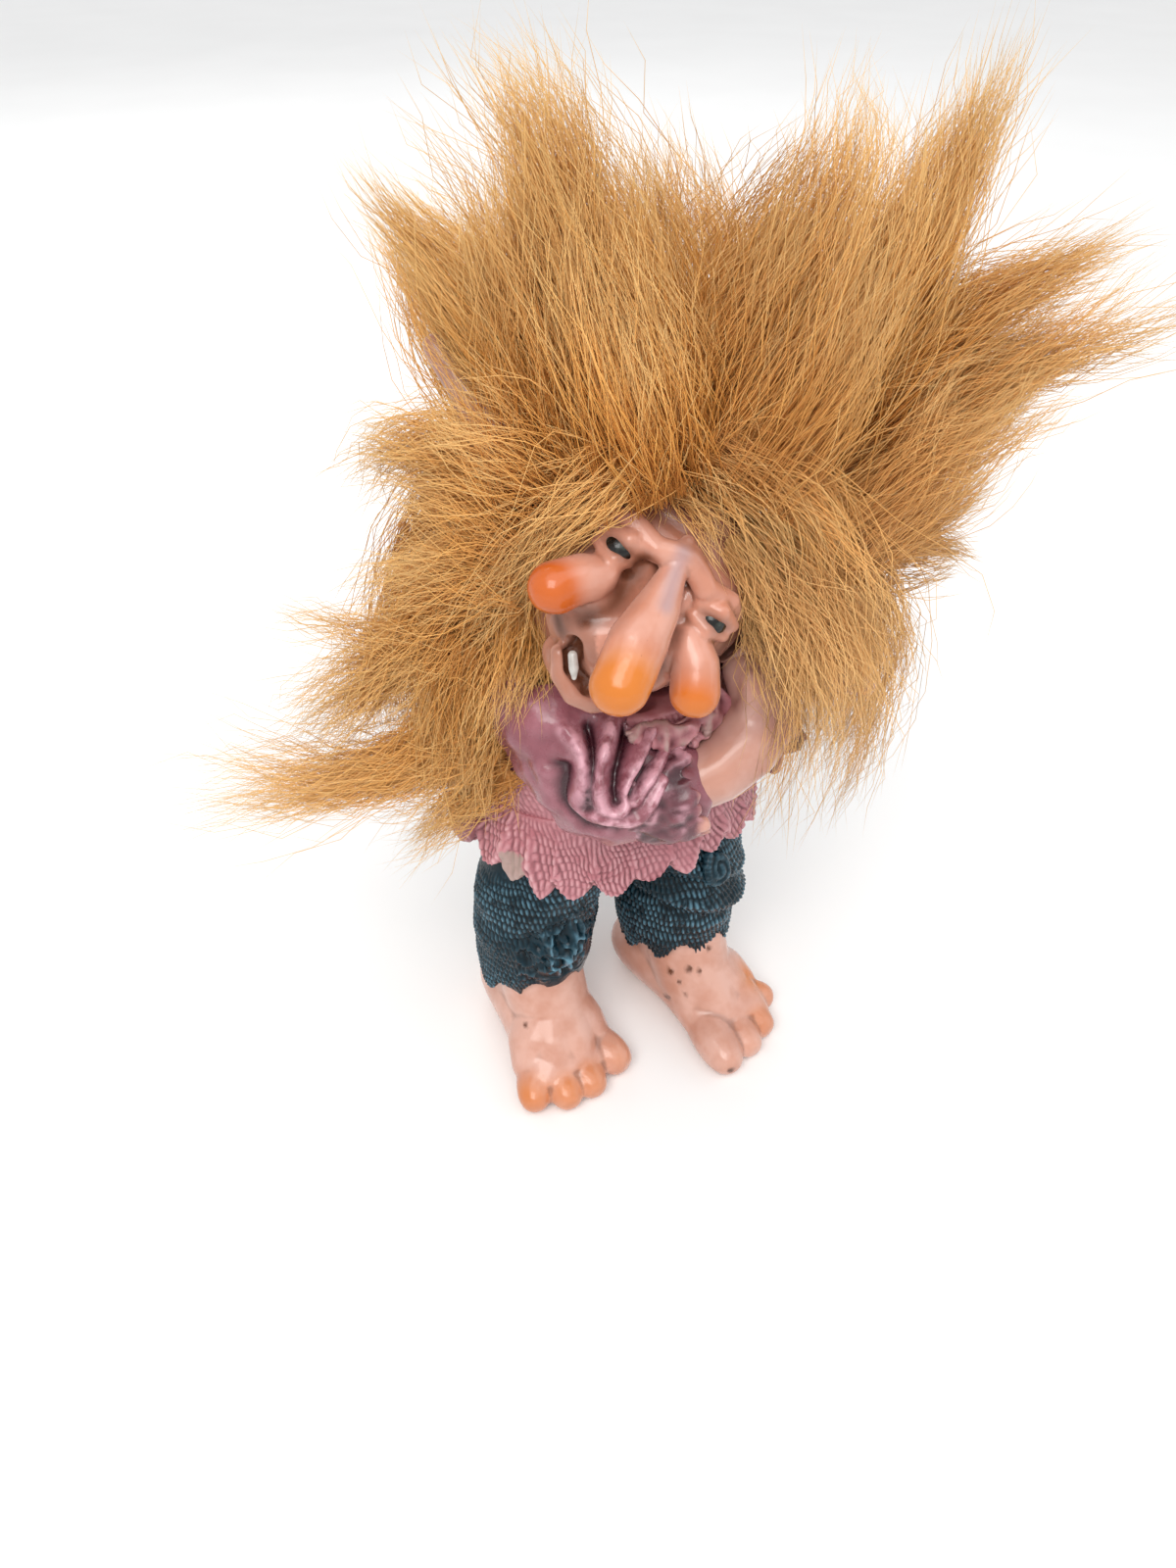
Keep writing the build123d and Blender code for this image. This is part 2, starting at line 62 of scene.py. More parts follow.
lampSetup = {
    "key": {"place": (-0.32, -0.30, 0.52), "size": 0.34, "energy": 1.7, "tint": (1.0, 0.98, 0.95)},
    "fill": {"place": (0.45, -0.25, 0.30), "size": 0.50, "energy": 0.7, "tint": (0.95, 0.97, 1.0)},
    "rim": {"place": (0.10, 0.45, 0.45), "size": 0.40, "energy": 0.9, "tint": (1.0, 1.0, 1.0)},
}
for lampName, lamp in lampSetup.items():
    lampData = bpy.data.lights.new(lampName, "AREA")
    lampData.size, lampData.energy, lampData.color = lamp["size"], lamp["energy"], lamp["tint"]
    lampObject = bpy.data.objects.new(lampName, lampData)
    bpy.context.scene.collection.objects.link(lampObject)
    lampObject.location = lamp["place"]
    aim = Vector((0, 0, 0.05)) - lampObject.location
    lampObject.rotation_euler = aim.to_track_quat("-Z", "Y").to_euler()


daylightSetup = {"energy": 1.6, "angle": 1.2, "turn": (0.35, -0.25, 0)}
daylight = bpy.data.lights.new("daylight", "SUN")  # even light, so that the far floor stays pale
daylight.energy, daylight.angle = daylightSetup["energy"], daylightSetup["angle"]
daylightObject = bpy.data.objects.new("daylight", daylight)
bpy.context.scene.collection.objects.link(daylightObject)
daylightObject.rotation_euler = daylightSetup["turn"]


def plainWhite(tree):  # the camera, and glossy and clear surfaces, see white
    path = tree.nodes.new("ShaderNodeLightPath")
    seen = path.outputs["Is Camera Ray"]
    for ray in ("Is Glossy Ray", "Is Transmission Ray"):
        either = tree.nodes.new("ShaderNodeMath")
        either.operation = "MAXIMUM"
        tree.links.new(seen, either.inputs[0])
        tree.links.new(path.outputs[ray], either.inputs[1])
        seen = either.outputs[0]
    return seen


world = bpy.data.worlds.new("studio")
bpy.context.scene.world = world
world.use_nodes = True
worldTree = world.node_tree
dim = worldTree.nodes["Background"]
dim.inputs["Color"].default_value = (0.95, 0.97, 1.0, 1)
dim.inputs["Strength"].default_value = 0.42
bright = worldTree.nodes.new("ShaderNodeBackground")
bright.inputs["Color"].default_value = (1, 1, 1, 1)
bright.inputs["Strength"].default_value = 1.0
swap = worldTree.nodes.new("ShaderNodeMixShader")
worldTree.links.new(plainWhite(worldTree), swap.inputs[0])
worldTree.links.new(dim.outputs[0], swap.inputs[1])
worldTree.links.new(bright.outputs[0], swap.inputs[2])
worldTree.links.new(swap.outputs[0], worldTree.nodes["World Output"].inputs["Surface"])


# small helpers for meshes

def deselect():
    for thing in bpy.context.selected_objects:
        thing.select_set(False)


def pick(thing):
    deselect()
    thing.select_set(True)
    bpy.context.view_layer.objects.active = thing


def points(thing):  # vertex places in millimetres
    flat = np.empty(len(thing.data.vertices) * 3)
    thing.data.vertices.foreach_get("co", flat)
    return flat.reshape(-1, 3) / mm


def normals(thing):
    flat = np.empty(len(thing.data.vertices) * 3)
    thing.data.vertices.foreach_get("normal", flat)
    return flat.reshape(-1, 3)


def setPoints(thing, places):
    thing.data.vertices.foreach_set("co", (places * mm).ravel())
    thing.data.update()


def applied(thing, kind, **settings):
    pick(thing)
    modifier = thing.modifiers.new(kind, kind)
    for key, value in settings.items():
        setattr(modifier, key, value)
    bpy.ops.object.modifier_apply(modifier=modifier.name)
    return thing


def fromNode(nodeName, pieceName):  # a copy of the CAD node's mesh, its loose triangles merged
    piece = bpy.data.objects.new(pieceName, nodes[nodeName].data.copy())
    bpy.context.scene.collection.objects.link(piece)
    piece.data.materials.clear()
    pick(piece)
    bpy.ops.object.mode_set(mode="EDIT")
    bpy.ops.mesh.select_all(action="SELECT")
    bpy.ops.mesh.remove_doubles(threshold=0.00002)
    bpy.ops.object.mode_set(mode="OBJECT")
    return piece


def ball(centre, radii, turn=None, segments=32):  # an ellipsoid, in millimetres
    deselect()
    bpy.ops.mesh.primitive_uv_sphere_add(segments=segments, ring_count=segments // 2, radius=1)
    made = bpy.context.object
    matrix = Matrix.Translation(Vector(centre) * mm)
    if turn is not None:
        matrix = matrix @ turn.to_4x4()
    matrix = matrix @ Matrix.Diagonal((radii[0] * mm, radii[1] * mm, radii[2] * mm, 1))
    made.data.transform(matrix)
    return made


def chain(spots, radii, steps=6):  # balls along a path, near enough to melt into one limb
    made = []
    for start, end, fromRadius, toRadius in zip(spots, spots[1:], radii, radii[1:]):
        for step in range(steps):
            share = step / steps
            middle = Vector(start).lerp(Vector(end), share)
            radius = fromRadius + (toRadius - fromRadius) * share
            made.append(ball(middle, (radius, radius, radius), segments=24))
    made.append(ball(spots[-1], (radii[-1],) * 3, segments=24))
    return made


def melted(pieces, name, voxel, rounds, factor=0.5):  # several forms cast as one skin
    deselect()
    for piece in pieces:
        piece.select_set(True)
    bpy.context.view_layer.objects.active = pieces[0]
    if len(pieces) > 1:
        bpy.ops.object.join()
    whole = bpy.context.object
    whole.name = name
    whole.data.name = name
    applied(whole, "REMESH", mode="VOXEL", voxel_size=voxel * mm, use_smooth_shade=True)
    applied(whole, "SMOOTH", factor=factor, iterations=rounds)
    return whole


def recast(nodeName, voxel, rounds, pieceName=None, beside=()):  # a node's mesh, melted with forms beside it
    pieceName = pieceName or nodeName + "Cast"
    return melted([fromNode(nodeName, pieceName)] + list(beside), pieceName, voxel, rounds)


def field(places, size, seed=0):  # smooth seeded noise from -1 to 1, size is the feature in mm
    scaled = places / size + 37.7 * (seed + 1)
    base = np.floor(scaled).astype(np.int64)
    part = scaled - base
    part = part * part * (3 - 2 * part)
    total = np.zeros(len(places))
    for corner in itertools.product((0, 1), repeat=3):
        cell = base + np.array(corner)
        code = (cell[:, 0] * 73856093) ^ (cell[:, 1] * 19349663) ^ (cell[:, 2] * 83492791) ^ (seed * 7919)
        code = ((code ^ (code >> 13)) * 1274126177) & 0xFFFFFFFF
        value = ((code >> 8) & 0xFFFF) / 32767.5 - 1
        weight = np.ones(len(places))
        for axis in range(3):
            weight = weight * (part[:, axis] if corner[axis] else 1 - part[:, axis])
        total += weight * value
    return total


def fall(distance, radius):  # 1 at nothing, 0 from the radius outward
    share = np.clip(1 - distance / radius, 0, 1)
    return share * share * (3 - 2 * share)


def gapTo(places, path):  # distance of every point to a path of straight runs
    best = np.full(len(places), 1e9)
    for start, end in zip(path, path[1:]):
        a, b = np.array(start, float), np.array(end, float)
        along = np.clip(((places - a) @ (b - a)) / max((b - a) @ (b - a), 1e-9), 0, 1)
        best = np.minimum(best, np.linalg.norm(places - a - along[:, None] * (b - a), axis=1))
    return best


def mark(thing, name, values):  # a painted layer kept on the points
    layer = thing.data.attributes.new(name, "FLOAT", "POINT")
    layer.data.foreach_set("value", values.astype(np.float32))


def hollows(thing, rounds=8):  # how far each point lies under its smoothed surroundings, in mm
    count = len(thing.data.vertices)
    edges = np.empty(len(thing.data.edges) * 2, np.int64)
    thing.data.edges.foreach_get("vertices", edges)
    edges = edges.reshape(-1, 2)
    degree = np.bincount(edges.ravel(), minlength=count).clip(1)[:, None]
    start = points(thing)
    soft = start.copy()
    for _ in range(rounds):
        total = np.zeros_like(soft)
        for axis in range(3):
            total[:, axis] += np.bincount(edges[:, 0], soft[edges[:, 1], axis], count)
            total[:, axis] += np.bincount(edges[:, 1], soft[edges[:, 0], axis], count)
        soft = total / degree
    return ((soft - start) * normals(thing)).sum(axis=1)


thinnedAbove = 9000  # a cast with more faces than this keeps half of its triangles


def settle(piece, material, slotName, *nodeNames):
    if slotName != "fur" and len(piece.data.polygons) > thinnedAbove:
        applied(piece, "DECIMATE", ratio=0.5)
    piece.data.materials.clear()
    piece.data.materials.append(material)
    for face in piece.data.polygons:
        face.use_smooth = True
    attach(piece, "root")
    if nodeNames:
        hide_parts(*nodeNames)
    print("piece", piece.name, len(piece.data.polygons), "faces")
    return piece


def smoothPath(spots, share):  # a path through the spots that runs on straight past its end
    count = len(spots) - 1
    spread = np.clip(share, 0, 1) * count
    index = np.minimum(spread.astype(int), count - 1)
    part = (spread - index)[..., None]
    padded = np.concatenate([2 * spots[:1] - spots[1:2], spots, 2 * spots[-1:] - spots[-2:-1]])
    a, b, c, d = (padded[index + step] for step in range(4))
    bend = 0.5 * (2 * b + (c - a) * part + (2 * a - 5 * b + 4 * c - d) * part ** 2
                  + (3 * b - a - 3 * c + d) * part ** 3)
    past = np.clip(share - 1, 0, None)[..., None] * count
    return bend + past * (spots[-1] - spots[-2])


def turningFrame(line):  # two directions square to a line, carried along it without twist
    ways = np.gradient(line, axis=0)
    ways = ways / np.linalg.norm(ways, axis=1, keepdims=True)
    side = np.cross(ways[0], (0.31, 0.17, 0.93))
    sides = []
    for way in ways:
        side = side - way * (side @ way)
        side = side / np.linalg.norm(side)
        sides.append(side)
    sides = np.array(sides)
    return sides, np.cross(ways, sides)


def lookUp(rows, share):
    spread = np.clip(share, 0, 1) * (len(rows) - 1)
    index = np.minimum(spread.astype(int), len(rows) - 2)
    part = (spread - index)[..., None]
    return rows[index] * (1 - part) + rows[index + 1] * part


# materials

class Paint:  # a principled material and the few nodes that colour it
    def __init__(self, name, roughness, coat=0.0):
        self.material = bpy.data.materials.new(name)
        self.material.use_nodes = True
        self.tree = self.material.node_tree
        self.shader = self.tree.nodes["Principled BSDF"]
        self.shader.inputs["Roughness"].default_value = roughness
        self.shader.inputs["Coat Weight"].default_value = coat
        self.shader.inputs["Coat Roughness"].default_value = 0.12
        self.places = self.tree.nodes.new("ShaderNodeTexCoord").outputs["Object"]

    def join(self, source, target):
        self.tree.links.new(source, target)

    def noise(self, size, detail=3.0, stretch=None, distortion=0.0):  # size in mm
        node = self.tree.nodes.new("ShaderNodeTexNoise")
        node.inputs["Scale"].default_value = 1 / (size * mm)
        node.inputs["Detail"].default_value = detail
        node.inputs["Distortion"].default_value = distortion
        places = self.places
        if stretch:
            mapping = self.tree.nodes.new("ShaderNodeMapping")
            mapping.inputs["Scale"].default_value = stretch
            self.join(places, mapping.inputs["Vector"])
            places = mapping.outputs[0]
        self.join(places, node.inputs["Vector"])
        return node.outputs["Fac"]

    def span(self, value, low, high, start=0.0, end=1.0):
        node = self.tree.nodes.new("ShaderNodeMapRange")
        node.inputs["From Min"].default_value = low
        node.inputs["From Max"].default_value = high
        node.inputs["To Min"].default_value = start
        node.inputs["To Max"].default_value = end
        self.join(value, node.inputs["Value"])
        return node.outputs[0]

    def layer(self, name):
        node = self.tree.nodes.new("ShaderNodeAttribute")
        node.attribute_name = name
        return node.outputs["Fac"]

    def product(self, first, second):
        node = self.tree.nodes.new("ShaderNodeMath")
        node.operation = "MULTIPLY"
        for slot, value in zip(node.inputs, (first, second)):
            if isinstance(value, (int, float)):
                slot.default_value = value
            else:
                self.join(value, slot)
        return node.outputs[0]

    def blend(self, fac, first, second, kind="MIX"):
        node = self.tree.nodes.new("ShaderNodeMix")
        node.data_type = "RGBA"
        node.blend_type = kind
        for slot, value in zip((node.inputs[0], node.inputs[6], node.inputs[7]), (fac, first, second)):
            if isinstance(value, (int, float)):
                slot.default_value = value
            elif isinstance(value, tuple):
                slot.default_value = value + (1,) if len(value) == 3 else value
            else:
                self.join(value, slot)
        return node.outputs[2]

    def colour(self, value):
        self.join(value, self.shader.inputs["Base Color"])

    def rough(self, value):
        self.join(value, self.shader.inputs["Roughness"])

    def relief(self, height, depth, strength=1.0):  # depth in mm
        node = self.tree.nodes.new("ShaderNodeBump")
        node.inputs["Distance"].default_value = depth * mm
        node.inputs["Strength"].default_value = strength
        self.join(height, node.inputs["Height"])
        self.join(node.outputs[0], self.shader.inputs["Normal"])


skinTones = {
    "base": (0.58, 0.285, 0.205), "pale": (0.67, 0.380, 0.300), "orange": (0.547, 0.081, 0.006),
    "amber": (0.636, 0.183, 0.017), "brown": (0.115, 0.036, 0.016), "lilac": (0.40, 0.27, 0.28),
}


def skinPaint(name):
    paint = Paint(name, 0.30, 0.22)
    paint.shader.inputs["Specular IOR Level"].default_value = 0.34
    mottle = paint.noise(3.4, 3)
    tone = paint.blend(paint.span(mottle, 0.38, 0.64), skinTones["base"], skinTones["pale"])
    wash = paint.blend(paint.layer("amber"), skinTones["orange"], skinTones["amber"])
    tone = paint.blend(paint.layer("orange"), tone, wash)
    # the lilac layer is a painted highlight along the nose bridge, and a pinker tone on the hands
    tone = paint.blend(paint.layer("lilac"), tone, skinTones["lilac"])
    # painted shade: the recess layer browns the skin's hollows, grooves, eye rims and open mouth, with brown
    # round the lip; on the feet it also carries dark specks
    tone = paint.blend(paint.layer("recess"), tone, skinTones["brown"])
    specks = paint.span(paint.noise(0.6, 2), 0.77, 0.80)
    tone = paint.blend(paint.product(specks, 0.5), tone, skinTones["brown"])
    paint.colour(tone)
    paint.rough(paint.span(paint.product(paint.noise(1.4, 3), paint.layer("recess")), 0.3, 1.5, 0.20, 0.66))
    paint.relief(paint.noise(0.8, 3), 0.04, 0.5)
    return paint.material


def knitPaint(name, tones):
    paint = Paint(name, 0.38, tones["coat"])
    paint.shader.inputs["Specular IOR Level"].default_value = tones["shine"]
    mottle = paint.noise(tones["patch"], 4)
    tone = paint.blend(paint.span(mottle, 0.35, 0.7), tones["base"], tones["second"])
    # painted shade: the recess layer darkens hollows and the gaps between stitches toward the dark tone
    tone = paint.blend(paint.layer("recess"), tone, tones["dark"])
    # painted highlight: the crest layer, broken up by noise, lightens fold crests and raised stitches toward
    # the light tone
    crestHighlight = paint.product(paint.layer("crest"), paint.span(paint.noise(1.3, 3), 0.36, 0.58))
    tone = paint.blend(crestHighlight, tone, tones["light"])
    tone = paint.blend(paint.layer("edge"), tone, tones["edge"])
    paint.colour(tone)
    paint.rough(paint.span(paint.noise(1.0, 3), 0.3, 0.7, tones["rough"][0], tones["rough"][1]))
    paint.relief(paint.noise(0.35, 3), 0.05, 0.6)
    return paint.material


skin = skinPaint("skinPaint")
trouserCloth = knitPaint("trouserPaint", {
    "patch": 4.0, "base": (0.003, 0.013, 0.020), "second": (0.006, 0.028, 0.042),
    "dark": (0.0015, 0.004, 0.006), "light": (0.125, 0.265, 0.350), "edge": (0.02, 0.06, 0.08),
    "rough": (0.08, 0.18), "coat": 0.02, "shine": 0.17,
})
sweaterCloth = knitPaint("sweaterPaint", {
    "patch": 6.0, "base": (0.45, 0.155, 0.180), "second": (0.55, 0.230, 0.260),
    "dark": (0.100, 0.022, 0.028), "light": (0.70, 0.39, 0.41), "edge": (0.36, 0.29, 0.24),
    "rough": (0.38, 0.56), "coat": 0.05, "shine": 0.4,
})
sleeveCloth = knitPaint("sleevePaint", {
    "patch": 3.5, "base": (0.215, 0.062, 0.080), "second": (0.33, 0.115, 0.145),
    "dark": (0.040, 0.008, 0.014), "light": (0.66, 0.35, 0.41), "edge": (0.62, 0.32, 0.25),
    "rough": (0.22, 0.38), "coat": 0.2, "shine": 0.45,
})
eyeGlaze = Paint("eyeGlaze", 0.16, 0.1)
eyeGlaze.shader.inputs["Specular IOR Level"].default_value = 0.35
eyeGlaze.colour(eyeGlaze.blend(eyeGlaze.span(eyeGlaze.noise(0.9, 2), 0.5, 0.72), (0.006, 0.005, 0.004),
                               (0.045, 0.055, 0.045)))
toothPaint = Paint("toothPaint", 0.22, 0.4)
toothPaint.colour(toothPaint.blend(toothPaint.noise(0.6, 2), (0.34, 0.31, 0.27), (0.66, 0.65, 0.62)))
print("materials ready")


# the camera's right, up and inward directions
cameraWays = ((0.866, -0.5, 0.0), (0.321, 0.557, 0.766), (0.383, 0.663, -0.643))


def asSeen(places, facing, pivot):  # millimetres right and up of a pivot for the camera, and facing it
    right, up, inward = (np.array(way) for way in cameraWays)
    away = places - np.array(pivot)
    return np.stack([away @ right, away @ up, np.zeros(len(places))], axis=1), -(facing @ inward)


# feet

footSetup = {
    "voxel": 0.26, "rounds": 8, "toeWash": 3.6,
    "ankle": {"right_foot": (-9.6, -1.0), "left_foot": (9.6, -4.7)},
    # from the shin down over the instep: forward, up, radius; then it fans out to the toes
    "shin": ((0.8, 14.2, 5.3), (2.4, 9.6, 5.4), (4.6, 6.2, 5.1)),
    "fan": {
        "right_foot": ((-3.2, 9.0), (-0.2, 10.8), (2.8, 10.6), (5.0, 8.6)),
        "left_foot": ((-1.2, 8.6), (0.8, 10.6), (3.6, 9.4), (5.4, 7.0)),
    },
    "toeRoot": (3.0, 2.7), "middleBone": (4.6, 3.9),
    "toes": {
        "right_foot": ((-16.3, -13.3, 1.0), (-12.7, -15.0, 1.0), (-9.4, -15.0, 0.9), (-5.0, -13.4, 0.75)),
        "left_foot": ((11.1, -19.5, 0.25), (14.3, -17.9, 0.8), (17.0, -14.1, 0.9), (18.2, -11.0, 0.7)),
    },
    "washes": {"right_foot": (-9.5, -9.8, 3.5, 0.5), "left_foot": (15.6, -13.0, 4.5, 1.0)},
    # dirt specks as the camera sees them: millimetres right and up from a place on the foot, and size
    "specks": {
        "right_foot": ((-9.6, -9.0, 7.0), ((-4.8, 0.1, 0.3),)),
        "left_foot": ((12.0, -12.0, 7.0), (
            (-4.4, 1.1, 0.5), (-6.7, 0.6, 0.42), (-3.1, 0.8, 0.32), (-5.6, -0.6, 0.25), (-4.8, -2.4, 0.25),
            (-6.9, -3.1, 0.3), (-1.9, 3.7, 0.3), (0.7, -11.4, 0.45),
        )),
    },
}
for nodeName in ("right_foot", "left_foot"):
    across, deep = footSetup["ankle"][nodeName]
    side = math.copysign(1, across)
    filling = []  # fills the step below the ankle
    for out, ahead in footSetup["fan"][nodeName]:
        spots = [(across, deep - forward, high) for forward, high, _ in footSetup["shin"]]
        radii = [row[2] for row in footSetup["shin"]]
        for share, (high, radius) in ((0.62, footSetup["middleBone"]), (1.0, footSetup["toeRoot"])):
            spots.append((across + side * out * share, deep - 3.4 - (ahead - 3.4) * share, high))
            radii.append(radius)
        filling += chain(spots, radii, steps=5)
    foot = recast(nodeName, footSetup["voxel"], footSetup["rounds"], beside=filling)
    places = points(foot)
    places[:, 2] = np.maximum(places[:, 2], 0)
    places[:, 2] = np.where(places[:, 2] < 0.25, 0, places[:, 2])
    setPoints(foot, places)
    wash = np.zeros(len(places))
    for across, deep, strength in footSetup["toes"][nodeName]:
        gap = np.linalg.norm(places - np.array((across, deep, 2.2)), axis=1)
        wash = np.maximum(wash, strength * fall(gap, footSetup["toeWash"]))
    across, deep, high, strength = footSetup["washes"][nodeName]
    gap = np.linalg.norm(places - np.array((across, deep, high)), axis=1)
    wash = np.maximum(wash, 0.85 * strength * fall(gap, 4.8))
    mark(foot, "orange", np.clip(wash * (1.25 + 0.4 * field(places, 2.0, 3)), 0, 1))
    mark(foot, "amber", np.full(len(places), 0.9))
    # painted shade in the foot's hollows; the dark specks are laid on top of it
    shadeAndSpecks = np.clip(hollows(foot, 14) * 6 - 0.2, 0, 0.5)
    pivot, specks = footSetup["specks"][nodeName]
    seen, toward = asSeen(places, normals(foot), pivot)
    for right, up, size in specks:
        gap = np.hypot(seen[:, 0] - right, seen[:, 1] - up)
        shadeAndSpecks = np.maximum(shadeAndSpecks, np.clip(2.6 * fall(gap, size + 0.12), 0, 1) * (toward > 0.1))
    mark(foot, "recess", shadeAndSpecks)
    settle(foot, skin, "skin_paint", nodeName)
print("feet done")


# trouser legs, their patch and knot

legSetup = {
    "voxel": 0.17, "rounds": 4, "rowPitch": 1.05, "stitchPitch": 0.62, "stitch": 0.16, "fold": 0.45,
    "radius": 7.4, "cuff": 10.6, "tatter": 1.9,
    "axes": {"right_trouser_leg": (-9.4, -2.0), "left_trouser_leg": (9.0, -4.0)},
}


def knitRelief(places, outward, turnCount, rowPitch, wobble, seed):  # short upright stitches in rows
    around = np.arctan2(outward[:, 1], outward[:, 0])
    rows = places[:, 2] / rowPitch + wobble * field(places, 3.2, seed) + 0.35 * field(places, 1.3, seed + 2)
    rowShare = rows - np.floor(rows)
    columns = around / (2 * np.pi) * turnCount + 0.55 * wobble * field(places, 2.2, seed + 1)
    columns = columns + 0.5 * np.floor(rows) + 0.3 * rowShare
    columnWave = 0.5 + 0.5 * np.cos(columns * 2 * np.pi)
    rowWave = np.sin(np.clip(rowShare, 0, 1) * np.pi) ** 0.6
    return columnWave * rowWave


for nodeName in ("right_trouser_leg", "left_trouser_leg"):
    leg = recast(nodeName, legSetup["voxel"], legSetup["rounds"])
    places = points(leg)
    middle = np.array(legSetup["axes"][nodeName])
    outward = places[:, :2] - middle
    # the cuff's tabs are drawn out to uneven lengths
    heading = np.arctan2(outward[:, 1], outward[:, 0])
    ring = np.stack([np.cos(heading), np.sin(heading), np.zeros(len(places))], axis=1) * legSetup["radius"]
    tilted = places[:, 2] + 0.30 * (places[:, 1] - middle[1])
    low = np.clip((legSetup["cuff"] + 2.4 - tilted) / 3.2, 0, 1)
    places[:, 2] -= low * legSetup["tatter"] * field(ring, 2.3, 8)
    setPoints(leg, places)
    facing = normals(leg)
    reach = np.linalg.norm(outward, axis=1)
    shell = np.clip((reach - 5.9) / 0.8, 0, 1)  # the outside only, not the ankle's bore
    turns = round(2 * np.pi * legSetup["radius"] / legSetup["stitchPitch"])
    stitches = knitRelief(places, outward, turns, legSetup["rowPitch"], 0.6, 11)
    folds = field(places * np.array((1, 1, 1.6)), 5.0, 21) * legSetup["fold"]
    if nodeName == "left_trouser_leg":  # long folds run across the knee
        slant = places[:, 2] - 21.5 + 0.42 * (places[:, 0] - 9)
        folds += 0.85 * np.exp(-(slant / 1.2) ** 2) - 0.65 * np.exp(-((slant + 2.3) / 1.1) ** 2)
        folds += 0.45 * np.exp(-((slant - 4.6) / 1.0) ** 2) - 0.3 * np.exp(-((slant - 2.8) / 0.8) ** 2)
        crushed = np.zeros(len(places))
    else:  # the crumpled front below the knee
        far = np.linalg.norm((places - np.array((-9.5, -9.3, 19.5))) * np.array((0.9, 0.5, 0.7)), axis=1)
        crushed = fall(far, 7.5)
        streaks = places * np.array((1, 1, 0.55))
        crumple = 0.7 - 2.2 * np.abs(field(streaks, 1.35, 31)) + 0.7 * field(places, 0.8, 32)
        folds += crushed * crumple * 1.1
        stitches = stitches * (1 - crushed)
    push = shell * (folds + legSetup["stitch"] * (stitches - 0.5) * 2)
    setPoints(leg, places + facing * push[:, None])
    # painted shade in the hollows and between stitches, and painted highlights on crests and raised stitches,
    # in patches
    deep = hollows(leg, 7)
    patchy = np.clip(0.60 + 1.2 * field(places, 4.5, 5), 0.1, 1)
    mark(leg, "recess", np.clip(deep * 7 + shell * 0.5 * (1 - crushed) * (0.5 - stitches), 0, 1))
    mark(leg, "crest", np.clip(np.clip(-deep * 6, 0, 1) ** 1.5 + 0.30 * stitches ** 3, 0, 1) * patchy * shell)
    settle(leg, trouserCloth, "trouser_paint", nodeName)

patchSetup = {
    "middle": (-9.6, 21.0), "half": (4.6, 5.8), "axis": (-9.4, -2.0), "radius": 7.5, "voxel": 0.17,
    "rounds": 3,
}
patch = recast("knee_patch", patchSetup["voxel"], patchSetup["rounds"], "kneePatch")
places = points(patch)
axis = np.array(patchSetup["axis"])
outward = places[:, :2] - axis
reach = np.linalg.norm(outward, axis=1)
edge = np.hypot((places[:, 0] - patchSetup["middle"][0]) / patchSetup["half"][0],
                (places[:, 2] - patchSetup["middle"][1]) / patchSetup["half"][1])
rise = fall(edge + 0.25 * field(places, 2.2, 43), 1.15)  # the lumps die away into the leg's own front
crumple = 0.7 - 2.2 * np.abs(field(places * np.array((1, 1, 0.7)), 1.3, 41)) + 0.7 * field(places, 0.8, 42)
over = np.clip(reach - patchSetup["radius"], 0, None) * rise + rise * (0.1 + 0.95 * crumple)
reached = np.where(reach > patchSetup["radius"] - 0.4, patchSetup["radius"] - 0.4 + over, reach)
places[:, :2] = axis + outward / reach[:, None] * reached[:, None]
setPoints(patch, places)
# painted shade in the crumples' hollows and painted highlights on their crests
deep = hollows(patch, 7)
mark(patch, "recess", np.clip(deep * 6, 0, 1))
mark(patch, "crest", np.clip(-deep * 7, 0, 1) ** 1.5)
settle(patch, trouserCloth, "trouser_paint", "knee_patch")

knotSetup = {
    "middle": (9.9, 27.0), "half": (1.7, 2.3), "turns": 1.7, "thick": 0.62, "reach": 0.9, "steps": 22,
    "voxel": 0.12, "rounds": 3,
}
legPlaces = points(bpy.data.objects["left_trouser_legCast"])
coil = []
for step in range(knotSetup["steps"]):
    share = step / (knotSetup["steps"] - 1)
    angle = 2.2 + share * knotSetup["turns"] * 2 * math.pi
    size = 1 - 0.78 * share
    across = knotSetup["middle"][0] + knotSetup["half"][0] * size * math.cos(angle)
    high = knotSetup["middle"][1] + knotSetup["half"][1] * size * math.sin(angle)
    beside = np.hypot(legPlaces[:, 0] - across, legPlaces[:, 2] - high) < knotSetup["reach"]
    coil.append((across, legPlaces[beside, 1].min() + 0.1, high))  # on the leg's own front
knot = melted(chain(coil, [knotSetup["thick"]] * len(coil), steps=2), "kneeKnot", knotSetup["voxel"],
              knotSetup["rounds"])
# painted shade in the coil's hollows and painted highlights on its crests
deep = hollows(knot, 6)
mark(knot, "recess", np.clip(deep * 6, 0, 1))
mark(knot, "crest", np.clip(-deep * 9, 0, 0.9))
settle(knot, trouserCloth, "trouser_paint", "knee_knot")
for shown, material in (("trouser_seat", trouserCloth), ("right_eye", eyeGlaze.material),
                        ("left_eye", eyeGlaze.material)):
    nodes[shown].data.materials.clear()
    nodes[shown].data.materials.append(material)
print("trousers done")


# sweater trunk and its ragged hem, one knit over both

